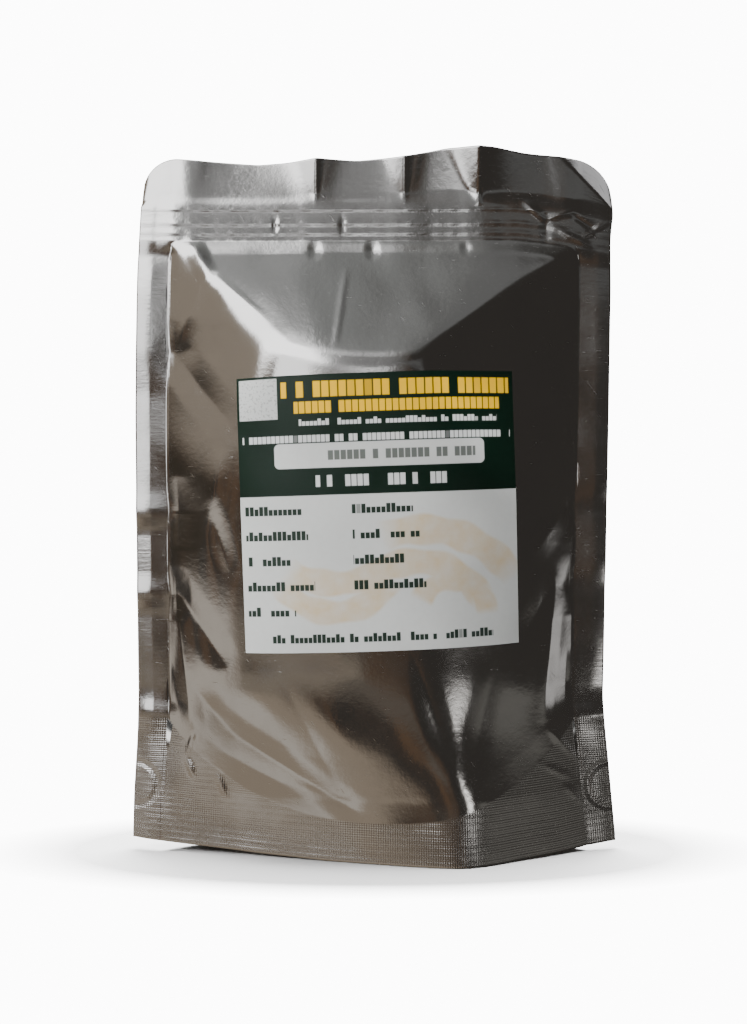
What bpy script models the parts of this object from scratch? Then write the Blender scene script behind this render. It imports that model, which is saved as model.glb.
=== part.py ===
"""A foil stand-up pouch: two wall films, a bottom film, a press zip, a paper label and the contents."""

import math

import bpy
import numpy as np

MM = 0.001  # all sizes below are in millimetres

# The flat pouch
FLAT_WIDTH = 160.0
FLAT_HEIGHT = 230.0
SIDE_SEAL = 10.0
CORNER_RADIUS = 12.0
GUSSET_FOLD = 43.5
CENTRE_SEAL = 13.0
SEAL_CURVE = 2.4
FILM = 0.2
SEAL_GAP = 0.16
SKIRT_GAP = 0.25
EDGE = FLAT_WIDTH / 2
INNER = EDGE - SIDE_SEAL

# The filled pouch
LEAN = 7.0
LEAN_POWER = 1.6
BODY_DEPTH = 26.5
BODY_POWER = 2.5
BACK_FLATTER = 1.5
TOP_SLOPE = 0.65
SIDE_SLOPES_FRONT = (0.48, 0.46)
SIDE_SLOPES_BACK = (0.52, 0.5)
SHOULDER_STEEPER = 0.15
LOWER_STEEPER = (0.35, 0.4)
BASE_DEPTH = 25.5
BACK_BASE_DEPTH = 23.5
BACK_BASE_POWER = 1.9
BASE_BLEND = (2.0, 62.0)
BASE_SLOPE_LEFT = 0.27
BASE_SLOPE_RIGHT = 0.63
BASE_SLIDE = 0.28
BASE_SLIDE_FROM = 20.0
RIDGE_ROUND = 1.2
BASE_ROUND = 2.2
FLOOR_HALF_DEPTH = 11.0
FOLD_TURN = 1.0
FOLD_NARROW = 0.9
FOLD_SQUARE = 0.4

# The press zip
ZIP_LOW = 200.8
ZIP_HIGH = 211.8
ZIP_LINE = 206.3
ZIP_SKIN = 0.95
ZIP_END_SKIN = 0.62
ZIP_FADE = 5.5
ZIP_CRUSHED = 0.5
ZIP_WAVE = 0.2
TRACK_INSET = 0.4
TRACK_BACK = 0.62
TRACK_FACE = 0.4
TRACK_TIP = 0.2
RIB_HALF = 0.4
JAW_NEAR = 0.75
JAW_FAR = 1.4

# The top right corner is bent back along a slanting crease, where x and z add up to this
CORNER_CREASE = 291.6
CORNER_BEND = 0.39

# The half-moon notches in the gusset's side edges
NOTCH_HEIGHT = 20.0
NOTCH_RADIUS = 8.0

# The label
LABEL_WIDTH = 89.5
LABEL_HEIGHT = 86.8
LABEL_X = 2.0
LABEL_Z = 111.7
LABEL_TURN = math.radians(1.9)
LABEL_THICK = 0.15
LABEL_GAP = 0.4
LABEL_MARGIN = 2.0

# The contents
FILL_LEVEL = 152.0
FILL_HALF_WIDTH = 57.0
FILL_CLEAR = 2.0
FILL_FLOOR_GAP = 0.3
FILL_SIDE_GAP = 1.0
FILL_END_RISE = 3.0
FILL_DOME = 10.0
FILL_LAYERS = 17

# Where the columns and rows of the wall films lie on the flat pouch
COLUMNS = np.array(
    (-80, -78, -75, -70, -64, -57, -50, -44, -38.5, -33.7, -26.5, -19.4, -14, -7, -0.3, 5, 10.2, 16, 22)
    + (28.5, 35, 42, 50, 57, 64, 70, 75, 78, 80)
)
ROWS = np.array(
    (0, 4, 8.5, 13, 18, 23, 28, 33.5, 38.5, 43.5, 50, 57, 64, 72, 79, 86.5, 94, 102.5, 111, 119, 127, 135)
    + (142, 149, 154.5, 160, 165.5, 172, 179, 185, 190, 195.3, 200.8, 206.3, 211.8, 216.8, 223, 230)
)
LEAF_ROWS = ROWS[ROWS <= GUSSET_FOLD]

# How far the side edges stand inward or outward of the flat outline, by height
LEFT_EDGE = ((0, 0.2), (16, 0.5), (30, 1.3), (45, 2.1), (85, 1.6), (145, 0.8), (190, 1.3), (216, 2.7))
LEFT_EDGE += ((230, 2.8),)
RIGHT_EDGE = ((0, -0.2), (14, -1.4), (30, -2.8), (47, -4.5), (85, -3.8), (145, -2.4), (190, -1.5))
RIGHT_EDGE += ((207, -1.7), (213, -0.6), (230, -0.6))

# Height of the top edge and of the zip band above the flat pouch's, across the width
TOP_EDGE = ((-80, -1.0), (-68, -1.6), (-40, -3.6), (-30, -3.0), (-19, -1.6), (-6, -2.4), (9, -1.2))
TOP_EDGE += ((24, 1.6), (40, 2.0), (50, 0.2), (68, -1.4), (80, -2.0))
ZIP_EDGE = ((-80, 0.4), (-60, 0.0), (48, 0.2), (56, -0.6), (80, -4.2))

# Lift of the bottom edge, and how the base corners turn back, across the width
BASE_LIFT = ((-80, 3.8), (-40, 1.0), (-15, 0.0), (40, 0.0), (60, 0.6), (80, 2.6))
BASE_TURN = ((46, 0.0), (70, -1.8), (80, 1.2))

# Creases of the header, by place across: how far back each stands at the top edge, and how far the film
# between it and the next one hangs behind the straight line
HEADER_CRESTS = ((-80, 1.6, 0.2), (-64, -0.2, 1.6), (-19.4, -1.8, 1.6), (10.2, -2.2, 1.8))
HEADER_CRESTS += ((35, -3.4, 1.6), (64, -0.6, 0.4), (80, 1.4, 0.0))
HEADER_POWER = 4.0

# Buckles of the side seals, by height: forward is negative
LEFT_BUCKLES = ((0, 0), (38, 0.1), (46, -0.5), (52, 0.1), (78, 0.5), (84, -0.4), (90, 0.3), (105, 0.5))
LEFT_BUCKLES += ((111, -0.6), (118, 0.2), (150, 0.5), (164, -0.4), (184, -0.2), (200, 0))
RIGHT_BUCKLES = ((0, 0), (38, 0), (45, -0.4), (52, 0.4), (70, 0.2), (87, 0.5), (94, -0.3), (108, 0))
RIGHT_BUCKLES += ((113, 0.5), (120, -0.1), (170, 0.2), (200, 0))

# Folds that run in from a side seal: side, height, reach inward, half height, depth
FRONT_FOLDS = (
    (-1, 164, 13, 11, 1.3),
    (-1, 111, 16, 12, 1.7),
    (-1, 84, 9, 9, 1.4),
    (1, 112.6, 12, 11, 1.7),
    (1, 87, 8, 10, 1.5),
    (1, 55, 12, 12, 1.6),
)
BACK_FOLDS = (
    (-1, 132, 14, 12, 1.5),
    (-1, 72, 11, 11, 1.4),
    (1, 150, 12, 12, 1.4),
    (1, 98, 15, 12, 1.6),
    (1, 62, 9, 9, 1.2),
)

# Dimples under the zip: place across, height, half width, half height, depth
FRONT_DIMPLES = (
    (-19.4, 196, 7, 7, 0.9),
    (-0.3, 197, 6, 5, 0.7),
    (31, 196, 8, 7, 1.0),
)
BACK_DIMPLES = (
    (-30, 196, 8, 7, 0.9),
    (14, 197, 7, 6, 0.8),
)


def smooth(start, stop, value):
    """0 before start, 1 after stop, with level ends."""
    part = np.clip((value - start) / (stop - start), 0.0, 1.0)
    return part * part * (3.0 - 2.0 * part)


def along(table, value, rounding=1.5):
    """Straight runs through the table's points, with a little rounding at the corners."""
    places, heights = zip(*table)
    steps = (-1.0, -0.5, 0.0, 0.5, 1.0)
    return sum(np.interp(value + step * rounding, places, heights) for step in steps) / len(steps)


def least(values, rounding):
    """The least of several heights, rounded where they cross."""
    floor = np.minimum.reduce(np.broadcast_arrays(*values))
    return floor - rounding * np.log(sum(np.exp(-(value - floor) / rounding) for value in values))


def seal_height(c):
    """Upper edge of the curved bottom seal."""
    part = np.clip(np.abs(c) / INNER, 0.0, 1.0)
    return CENTRE_SEAL + (GUSSET_FOLD - CENTRE_SEAL) * part**SEAL_CURVE


def stack(c, r):
    """Half the thickness of the layers where the films lie flat on each other."""
    plain = SEAL_GAP / 2 + FILM
    folded = plain + FILM + SEAL_GAP
    below = 1.0 - smooth(GUSSET_FOLD + 0.5, GUSSET_FOLD + 6.0, r)
    half = plain + (folded - plain) * below
    crushed = smooth(INNER - 1.0, INNER + 5.0, np.abs(c))
    skin = ZIP_SKIN + (ZIP_END_SKIN - ZIP_SKIN) * crushed
    zone = smooth(ZIP_LOW - ZIP_FADE, ZIP_LOW, r) * (1.0 - smooth(ZIP_HIGH, ZIP_HIGH + ZIP_FADE, r))
    return half + (skin - half) * zone


def front_base(c):
    """Plan of the front wall's bottom edge: two nearly straight runs that meet right of the middle."""
    runs = (BASE_SLOPE_LEFT * (c + INNER), BASE_SLOPE_RIGHT * (INNER - c))
    return least((*runs, BASE_DEPTH + 0.0 * c), BASE_ROUND)


def back_base(c):
    """Plan of the back wall's bottom edge: an even curve."""
    return BACK_BASE_DEPTH * (1.0 - np.clip(np.abs(c) / INNER, 0.0, 1.0) ** BACK_BASE_POWER)


def bulge(c, r, front):
    """How far a wall stands out from the pouch's middle sheet."""
    across = np.clip(np.abs(c) / INNER, 0.0, 1.0)
    body = (BODY_DEPTH - (0.0 if front else BACK_FLATTER)) * (1.0 - across**BODY_POWER)
    top = TOP_SLOPE * (ZIP_LOW - r)
    lower = smooth(168.0, 78.0, r)
    left, right = SIDE_SLOPES_FRONT if front else SIDE_SLOPES_BACK
    left = left + SHOULDER_STEEPER * smooth(196.0, 172.0, r) + LOWER_STEEPER[0] * lower
    right = right + LOWER_STEEPER[1] * lower
    upper = least((body, top, left * (c + INNER), right * (INNER - c)), RIDGE_ROUND)
    slide = BASE_SLIDE * np.maximum(r - BASE_SLIDE_FROM, 0.0) * (1.0 - across**2)
    base = front_base(c + slide) if front else back_base(c)
    depth = base + (upper - base) * smooth(*BASE_BLEND, r)
    for side, height, reach, half, cut in FRONT_FOLDS if front else BACK_FOLDS:
        inward = (INNER - side * c) / reach
        tall = 1.0 - np.abs(r - height) / half
        run = np.clip(1.0 - inward, 0.0, 1.0) * np.clip(inward * 4.0, 0.0, 1.0)
        depth = depth - cut * np.clip(tall, 0.0, 1.0) * run
    for place, height, wide, half, cut in FRONT_DIMPLES if front else BACK_DIMPLES:
        ring = np.hypot((c - place) / wide, (r - height) / half)
        depth = depth - cut * np.clip(1.0 - ring, 0.0, 1.0)
    flat = stack(c, r)
    inside = (np.abs(c) < INNER) & (r < ZIP_LOW)
    return np.where(inside, flat + np.maximum(depth, 0.0), flat)


def header_wave(c):
    """How far back the header's top edge stands: forward creases, with the film hanging back between."""
    places, crests, sags = (np.array(row) for row in zip(*HEADER_CRESTS))
    k = np.clip(np.searchsorted(places, c) - 1, 0, len(places) - 2)
    part = np.clip((c - places[k]) / (places[k + 1] - places[k]), 0.0, 1.0)
    hang = 1.0 - np.abs(2.0 * part - 1.0) ** HEADER_POWER
    return crests[k] + (crests[k + 1] - crests[k]) * part + sags[k] * hang


def middle(c, r):
    """How far the pouch's middle sheet stands back from upright."""
    lean = LEAN * (np.clip(r, 0.0, None) / FLAT_HEIGHT) ** LEAN_POWER
    above = np.clip((r - ZIP_HIGH) / (FLAT_HEIGHT - ZIP_HIGH), 0.0, 1.0)
    header = ZIP_WAVE * smooth(180.0, ZIP_LOW, r) + (1.0 - ZIP_WAVE) * above
    left = smooth(-INNER + 8.0, -EDGE, c) * along(LEFT_BUCKLES, r)
    right = smooth(INNER - 8.0, EDGE, c) * along(RIGHT_BUCKLES, r)
    corners = along(BASE_TURN, np.abs(c)) * np.clip((75.0 - r) / 55.0, 0.0, 1.0)
    bent = CORNER_BEND * np.maximum(c + place_z(c, r) - CORNER_CREASE, 0.0)
    return lean + header * header_wave(c) + left + right + corners + bent


def place_x(c, r):
    """Where a point of the flat pouch ends up across the width."""
    left = along(LEFT_EDGE, r, 4.0) * np.clip((-15.0 - c) / (INNER - 15.0), 0.0, 1.0)
    right = along(RIGHT_EDGE, r, 4.0) * np.clip((c - 15.0) / (INNER - 15.0), 0.0, 1.0)
    return c + left + right


def place_z(c, r):
    """Where a point of the flat pouch ends up in height."""
    over = np.clip(np.abs(c) - (EDGE - CORNER_RADIUS), 0.0, CORNER_RADIUS)
    corner = CORNER_RADIUS - np.sqrt(CORNER_RADIUS**2 - over**2)
    lift = along(BASE_LIFT, c) * np.clip(1.0 - r / 34.0, 0.0, 1.0)
    band = along(ZIP_EDGE, c) * smooth(170.0, ZIP_LOW, r)
    rise = along(TOP_EDGE, c) - along(ZIP_EDGE, c) - corner
    return r + lift + band + rise * np.clip((r - ZIP_HIGH) / (FLAT_HEIGHT - ZIP_HIGH), 0.0, 1.0)


def tilt(c, r, front):
    """How much longer a step through the film is along Y than square to the film."""
    step = 0.5
    by_c = (bulge(c + step, r, front) - bulge(c - step, r, front)) / (2 * step)
    by_r = (bulge(c, r + step, front) - bulge(c, r - step, front)) / (2 * step)
    steep = np.sqrt(1.0 + by_c**2 + by_r**2)
    flat = (np.abs(c) >= INNER) | (r >= ZIP_LOW)
    return np.where(flat, 1.0, np.minimum(steep, 1.5))


def wall(c, r, front, depth):
    """A point of a wall film, at a depth below its outer face."""
    out = bulge(c, r, front) - depth * tilt(c, r, front)
    y = middle(c, r) - out if front else middle(c, r) + out
    return np.stack(np.broadcast_arrays(place_x(c, r), y, place_z(c, r)), axis=-1)


def mesh_object(name, points, faces, colour, metallic, roughness):
    """A named object with one material, from points in millimetres."""
    mesh = bpy.data.meshes.new(name)
    mesh.from_pydata([tuple(float(v) * MM for v in point) for point in points], [], faces)
    mesh.validate()
    mesh.update()
    thing = bpy.data.objects.new(name, mesh)
    bpy.context.scene.collection.objects.link(thing)
    material = bpy.data.materials.new(name)
    material.use_nodes = True
    shader = material.node_tree.nodes["Principled BSDF"]
    shader.inputs["Base Color"].default_value = (*colour, 1.0)
    shader.inputs["Metallic"].default_value = metallic
    shader.inputs["Roughness"].default_value = roughness
    mesh.materials.append(material)
    return thing


def closed_sheet(outer, inner, turn_from=None):
    """A body between two grids, with a rim. From column turn_from on, quads split the other way."""
    rows, columns = outer.shape[:2]
    points = np.concatenate((outer.reshape(-1, 3), inner.reshape(-1, 3)))
    back = rows * columns
    faces = []
    for i in range(rows - 1):
        for j in range(columns - 1):
            a, b = i * columns + j, i * columns + j + 1
            d, e = a + columns, b + columns
            turned = turn_from is not None and j >= turn_from
            halves = ((a, b, d), (b, e, d)) if turned else ((a, b, e), (a, e, d))
            faces += [*halves, *(tuple(back + k for k in half[::-1]) for half in halves)]
    rim = list(range(columns))
    rim += [i * columns + columns - 1 for i in range(1, rows)]
    rim += [(rows - 1) * columns + j for j in range(columns - 2, -1, -1)]
    rim += [i * columns for i in range(rows - 2, 0, -1)]
    for k, here in enumerate(rim):
        there = rim[(k + 1) % len(rim)]
        faces += [(here, back + here, back + there), (here, back + there, there)]
    return points, faces


def wall_film(name, front):
    """One of the two walls, from the bottom edge to the top edge."""
    c, r = np.meshgrid(COLUMNS, ROWS)
    outer = wall(c, r, front, 0.0)
    inner = wall(c, r, front, FILM)
    ahead, behind = (outer, inner) if front else (inner, outer)
    return mesh_object(name, *closed_sheet(ahead, behind), (0.78, 0.78, 0.78), 1.0, 0.22)


def notched(c, r):
    """The columns of the gusset, drawn inward where the half-moon notch cuts its side edges."""
    depth = np.sqrt(np.clip(NOTCH_RADIUS**2 - (r - NOTCH_HEIGHT) ** 2, 0.0, None))
    return c - math.copysign(1.0, c) * depth * max(abs(c) - INNER, 0.0) / SIDE_SEAL


def floor_section(c):
    """The gusset at one column: its leaves behind the walls, the middle and its floor's height."""
    top = float(seal_height(c))
    leaf = LEAF_ROWS * top / GUSSET_FOLD
    across = notched(c, leaf)
    gap = SEAL_GAP if abs(c) >= INNER else SKIRT_GAP
    halves = [wall(across, leaf, front, FILM + gap) for front in (True, False)]
    middle_y = float(middle(c, top))
    free = GUSSET_FOLD - top
    drops = [math.sqrt(max(free**2 - (half[-1, 1] - middle_y) ** 2, 0.0)) for half in halves]
    floor_z = max(float(halves[0][-1, 2]) - min(drops), FILM)
    return halves, middle_y, floor_z


def floor_half_depth(c, depth):
    """Half the depth of the gusset's level floor, where the walls stand this far from the middle."""
    level = FLOOR_HALF_DEPTH * (1.0 - float(smooth(30.0, 62.0, abs(c))))
    return min(max(level, depth * 0.3), depth * 0.6)


def gusset_film():
    """The bottom film: sealed behind both walls below the curve, and free between them as a floor."""
    lines, middles = [], []
    for c in COLUMNS:
        halves, middle_y, floor_z = floor_section(float(c))
        line = [tuple(point) for point in halves[0]]
        for half, sign in ((halves[0], -1), (halves[1], 1)):
            edge_x, edge_y, edge_z = half[-1]
            depth = abs(edge_y - middle_y)
            near = floor_half_depth(c, depth)
            turned = depth - min(FOLD_TURN, (depth - near) * 0.4)
            steps = [(turned, edge_z), ((turned + near) / 2, (edge_z + floor_z) / 2)]
            steps += [(near, floor_z), (near * 0.5, floor_z)]
            run = [(edge_x, middle_y + sign * deep, z) for deep, z in steps]
            line += run if sign < 0 else [(edge_x, middle_y, floor_z)] + run[::-1]
        line += [tuple(point) for point in halves[1][::-1]]
        lines.append(line)
        middles.append(middle_y)
    upper = np.array(lines)
    last = len(upper) - 1
    lower = []
    for i, middle_y in enumerate(middles):
        ahead, behind = upper[min(i + 1, last)], upper[max(i - 1, 0)]
        climb = (ahead - behind)[:, 1:] / (ahead - behind)[:, :1]
        lower.append(under_side(upper[i], climb, middle_y))
    sheet = closed_sheet(np.array(lower), upper, turn_from=upper.shape[1] // 2)
    return mesh_object("gusset_film", *sheet, (0.72, 0.72, 0.72), 1.0, 0.25)


def under_side(line, climb, middle_y):
    """The lower face of the gusset at one column: the upper face moved through the film.

    The move is partly turned to stand square on the rows too, which keeps the steep film near the sides thick.
    """
    steps = np.diff(line[:, 1:], axis=0)
    lengths = np.linalg.norm(steps, axis=1)
    normals = np.stack((-steps[:, 1], steps[:, 0]), axis=1) / lengths[:, None]
    padded = np.concatenate((normals[:1], normals, normals[-1:]))
    joined = padded[:-1] + padded[1:]
    joined /= np.linalg.norm(joined, axis=1)[:, None]
    cosine = np.clip((joined * padded[1:]).sum(axis=1), 0.7, 1.0)
    lean = FOLD_SQUARE * (joined * climb).sum(axis=1)
    square = np.column_stack((-lean, joined)) / np.sqrt(1.0 + lean**2)[:, None]
    under = line - square * (FILM / cosine)[:, None]
    last_leaf = len(LEAF_ROWS) - 1
    for first, sign in ((last_leaf, -1), (len(line) - 1 - last_leaf, 1)):
        full = abs(line[first, 1] - middle_y)
        kept = abs(under[first, 1] - middle_y)
        if full > FOLD_NARROW:
            continue
        inner = range(last_leaf + 1, len(line) // 2) if sign < 0 else range(len(line) // 2 + 1, first)
        for k in inner:
            under[k, 1] = middle_y + (line[k, 1] - middle_y) * min(kept / full, 1.0)
    return under


def zip_track(name, front):
    """One half of the press zip: a flat strip with a rib, or with two jaws that take the rib."""
    low, high = ZIP_LOW + TRACK_INSET, ZIP_HIGH - TRACK_INSET
    if front:
        section = ((-TRACK_BACK, low), (-TRACK_FACE, low), (-TRACK_FACE, ZIP_LINE - RIB_HALF))
        section += ((TRACK_TIP, ZIP_LINE - RIB_HALF), (TRACK_TIP, ZIP_LINE + RIB_HALF))
        section += ((-TRACK_FACE, ZIP_LINE + RIB_HALF), (-TRACK_FACE, high), (-TRACK_BACK, high))
    else:
        section = ((TRACK_BACK, low), (TRACK_BACK, high), (TRACK_FACE, high))
        section += ((TRACK_FACE, ZIP_LINE + JAW_FAR), (-TRACK_TIP, ZIP_LINE + JAW_FAR))
        section += ((-TRACK_TIP, ZIP_LINE + JAW_NEAR),)
        section += ((TRACK_FACE, ZIP_LINE + JAW_NEAR), (TRACK_FACE, ZIP_LINE - JAW_NEAR))
        section += ((-TRACK_TIP, ZIP_LINE - JAW_NEAR), (-TRACK_TIP, ZIP_LINE - JAW_FAR))
        section += ((TRACK_FACE, ZIP_LINE - JAW_FAR), (TRACK_FACE, low))
    rings = []
    for c in COLUMNS:
        squeeze = 1.0 - (1.0 - ZIP_CRUSHED) * float(smooth(INNER - 3.0, INNER + 3.0, abs(c)))
        inset = math.copysign(0.5, c) if abs(c) == EDGE else 0.0
        ring = []
        for y, r in section:
            ring.append((place_x(c, r) - inset, float(middle(c, r)) + y * squeeze, float(place_z(c, r))))
        rings.append(ring)
    count = len(section)
    points = [point for ring in rings for point in ring]
    faces = [tuple(range(count - 1, -1, -1)), tuple(range(len(points) - count, len(points)))]
    for i in range(len(rings) - 1):
        for k in range(count):
            a, b = i * count + k, i * count + (k + 1) % count
            faces += [(a, b + count, a + count), (a, b, b + count)]
    return mesh_object(name, points, faces, (0.86, 0.87, 0.88), 0.0, 0.35)


def label_lines(half, centre, lines):
    """Places of the label's edges and of the wall's grid lines between them, from the label's middle."""
    inside = [float(line) - centre for line in lines if abs(line - centre) < half - LABEL_MARGIN]
    return np.array([-half, *inside, half])


def label():
    """The paper label, a little off square, lying on the front wall."""
    across = label_lines(LABEL_WIDTH / 2, LABEL_X, COLUMNS)
    up = label_lines(LABEL_HEIGHT / 2, LABEL_Z, ROWS)
    a, b = np.meshgrid(across, up)
    side = np.abs(a) / (LABEL_WIDTH / 2) == 1.0
    end = np.abs(b) / (LABEL_HEIGHT / 2) == 1.0
    c = LABEL_X + a - b * math.sin(LABEL_TURN) * side
    r = LABEL_Z + b + a * math.sin(LABEL_TURN) * end
    outer = wall(c, r, True, -LABEL_GAP - LABEL_THICK)
    inner = wall(c, r, True, -LABEL_GAP)
    return mesh_object("label", *closed_sheet(outer, inner), (0.82, 0.83, 0.8), 0.0, 0.55)


def tamarind_fill():
    """The contents: they fill the pouch up to the level where the walls fold inward."""
    columns = COLUMNS[np.abs(COLUMNS) <= FILL_HALF_WIDTH]
    parts = np.linspace(0.0, 1.0, FILL_LAYERS)
    sides = {True: [], False: []}
    for c in columns:
        halves, middle_y, floor_z = floor_section(float(c))
        start = floor_z + FILL_FLOOR_GAP + FILL_END_RISE * float(smooth(30.0, FILL_HALF_WIDTH, abs(c)))
        dome = FILL_LEVEL - FILL_DOME * (abs(c) / FILL_HALF_WIDTH) ** 2
        for front in (True, False):
            edge = halves[0][-1] if front else halves[1][-1]
            depth_edge = abs(edge[1] - middle_y)
            near = floor_half_depth(c, depth_edge)
            column = []
            for part in parts:
                z = start + (dome - start) * part**1.15
                r = max(z, 0.0)
                reach = float(bulge(c, r, front)) - FILL_CLEAR
                over = (z - start - FILL_SIDE_GAP) / max(float(edge[2]) - floor_z, 0.5)
                if over < 1.0:
                    reach = min(reach, near + (depth_edge - near) * max(over, 0.0) - FILL_SIDE_GAP)
                reach = max(reach, 0.4)
                y = float(middle(c, r)) + (-reach if front else reach)
                column.append((float(place_x(c, r)), y, z))
            sides[front].append(column)
    front_grid = np.array(sides[True]).transpose(1, 0, 2)
    back_grid = np.array(sides[False]).transpose(1, 0, 2)
    block = closed_sheet(front_grid, back_grid)
    return mesh_object("tamarind_fill", *block, (0.2, 0.09, 0.035), 0.0, 0.6)


for old in list(bpy.data.objects):
    bpy.data.objects.remove(old, do_unlink=True)

wall_film("front_film", True)
wall_film("back_film", False)
gusset_film()
zip_track("zip_rib_track", True)
zip_track("zip_groove_track", False)
label()
tamarind_fill()
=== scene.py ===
# %% [markdown]
# # A foil stand-up pouch
# A fruit pouch is a flat bag of metallised film: two walls, a folded bottom film, seals round the edges and a
# press zip near the top. Filled, it stands on its opened bottom fold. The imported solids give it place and
# size, and this lesson gives it the look: crisp folds in thin film, a zip that shows through, an embossed
# seal and a paper label. A cloth simulation could fill the bag, but it rounds every plane off. So each wall
# is worked out as a height over its flat pattern, where every seal and fold has a place in millimetres.

# %% The frame
import math

import bpy
import numpy as np
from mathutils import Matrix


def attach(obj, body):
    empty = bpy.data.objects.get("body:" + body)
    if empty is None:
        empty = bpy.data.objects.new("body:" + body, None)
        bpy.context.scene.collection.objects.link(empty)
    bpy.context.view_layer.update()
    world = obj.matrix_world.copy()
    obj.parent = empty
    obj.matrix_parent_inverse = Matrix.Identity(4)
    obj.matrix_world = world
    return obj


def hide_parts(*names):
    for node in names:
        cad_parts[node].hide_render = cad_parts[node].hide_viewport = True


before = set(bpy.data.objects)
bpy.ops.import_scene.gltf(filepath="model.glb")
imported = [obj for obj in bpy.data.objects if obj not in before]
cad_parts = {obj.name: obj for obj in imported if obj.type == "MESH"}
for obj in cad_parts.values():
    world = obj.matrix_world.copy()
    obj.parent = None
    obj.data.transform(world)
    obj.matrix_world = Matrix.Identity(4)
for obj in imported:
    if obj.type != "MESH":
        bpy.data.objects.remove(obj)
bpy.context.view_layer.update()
MM = 0.001
print("solids:", sorted(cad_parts))

# %% [markdown]
# ## The flat bag
# The drawing of such a bag is short: an outline, side seals, a bottom fold and a zip. A place on it is called
# c, across from the middle line, and r, up from the bottom edge. Both are in millimetres all through the
# lesson.

# %% Outline of the flat bag
FLAT_WIDTH = 160.0
FLAT_HEIGHT = 230.0
SIDE_SEAL = 10.0
EDGE = FLAT_WIDTH / 2
INNER = EDGE - SIDE_SEAL
print("flat pouch:", FLAT_WIDTH, "x", FLAT_HEIGHT, "mm")


# %% [markdown]
# ## Profiles
# Film that is pressed flat and then filled bends at creases and stays nearly straight between them. So most
# forms here are tables of places joined by straight runs, a little rounded. Curves could draw them too, but a
# table is read at a glance. The helpers are a smooth step, a rounded table, and the least of several slopes
# with a soft ridge.

# %% Helpers for profiles
def smooth(start, stop, value):
    part = np.clip((value - start) / (stop - start), 0.0, 1.0)
    return part * part * (3.0 - 2.0 * part)


def along(table, value, rounding=1.5):
    places, heights = zip(*table)
    steps = (-1.0, -0.5, 0.0, 0.5, 1.0)
    return sum(np.interp(value + step * rounding, places, heights) for step in steps) / len(steps)


def least(values, rounding):
    floor = np.minimum.reduce(np.broadcast_arrays(*values))
    return floor - rounding * np.log(sum(np.exp(-(value - floor) / rounding) for value in values))


print("a quarter of the way, a smooth step is at", float(smooth(0.0, 1.0, 0.25)))

# %% [markdown]
# ## Layers at the seals
# At the seals the walls lie on each other, and below a curved line the folded bottom film lies between them.
# The zip's tracks hold them further apart. Each layer could be modelled against the next, but half of the
# whole stack is one formula, and both walls start from it.

# %% Stack of films
FILM = 0.2
SEAL_GAP = 0.16
GUSSET_FOLD = 43.5
CENTRE_SEAL = 13.0
SEAL_CURVE = 2.4
FOLD_END = (GUSSET_FOLD + 0.5, GUSSET_FOLD + 6.0)
FOLD_FADE = (GUSSET_FOLD - 18.0, GUSSET_FOLD + 26.0)
ZIP_LOW = 200.8
ZIP_HIGH = 211.8
ZIP_FADE = 5.5
ZIP_SKIN = 0.95
ZIP_END_SKIN = 0.62


def seal_height(c):
    part = np.clip(np.abs(c) / INNER, 0.0, 1.0)
    return CENTRE_SEAL + (GUSSET_FOLD - CENTRE_SEAL) * part**SEAL_CURVE


def zip_zone(r):
    return smooth(ZIP_LOW - ZIP_FADE, ZIP_LOW, r) * (1.0 - smooth(ZIP_HIGH, ZIP_HIGH + ZIP_FADE, r))


def stack(c, r):
    plain = SEAL_GAP / 2 + FILM
    folded = plain + FILM + SEAL_GAP
    step = smooth(*FOLD_END, r)
    gentle = smooth(*FOLD_FADE, r)
    below = 1.0 - gentle - (step - gentle) * smooth(INNER - 14.0, INNER - 2.0, np.abs(c))
    half = plain + (folded - plain) * below
    crushed = smooth(INNER - 1.0, INNER + 5.0, np.abs(c))
    skin = ZIP_SKIN + (ZIP_END_SKIN - ZIP_SKIN) * crushed
    return half + (skin - half) * zip_zone(r)


print("bottom seal:", CENTRE_SEAL, "mm high in the middle,", GUSSET_FOLD, "mm at the sides")

# %% [markdown]
# ## The base
# The opened bottom fold makes the pouch a boat, seen from below. In front it is two straight runs that meet
# in a rounded corner right of the middle, because the contents push hardest there. The back can't be seen in
# the picture, and is a plain arch. An ellipse would be simpler, but loses that corner.

# %% Depth at the base
BASE_DEPTH = 25.5
BASE_SLOPE_LEFT = 0.27
BASE_SLOPE_RIGHT = 0.63
BASE_ROUND = 2.2
BACK_BASE_DEPTH = 23.5
BACK_BASE_POWER = 1.9


def front_base(c):
    runs = (BASE_SLOPE_LEFT * (c + INNER), BASE_SLOPE_RIGHT * (INNER - c))
    return least((*runs, BASE_DEPTH + 0.0 * c), BASE_ROUND)


def back_base(c):
    return BACK_BASE_DEPTH * (1.0 - np.clip(np.abs(c) / INNER, 0.0, 1.0) ** BACK_BASE_POWER)


print("base depth in front:", round(float(front_base(0.0)), 1), "mm")

# %% [markdown]
# ## Planes of the body
# Contents push the walls out until the film is tight. Tight film forms planes that meet at ridges, so the
# depth is the least of a few slopes: down from the zip, in from each side seal, and the full body. Most
# ridges are crisp. One at the upper left is soft, and it catches the widest band of light.

# %% Planes
BODY_DEPTH = 26.5
BODY_POWER = 2.5
BACK_FLATTER = 1.5
TOP_SLOPE = 0.65
SIDE_SLOPES_FRONT = (0.48, 0.46)
SIDE_SLOPES_BACK = (0.52, 0.5)
SHOULDER_ZONE = (196.0, 172.0)
SHOULDER_STEEPER = 0.15
LOWER_ZONE = (168.0, 78.0)
LOWER_STEEPER = (0.35, 0.4)
RIDGE_ROUND = 0.8
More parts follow.
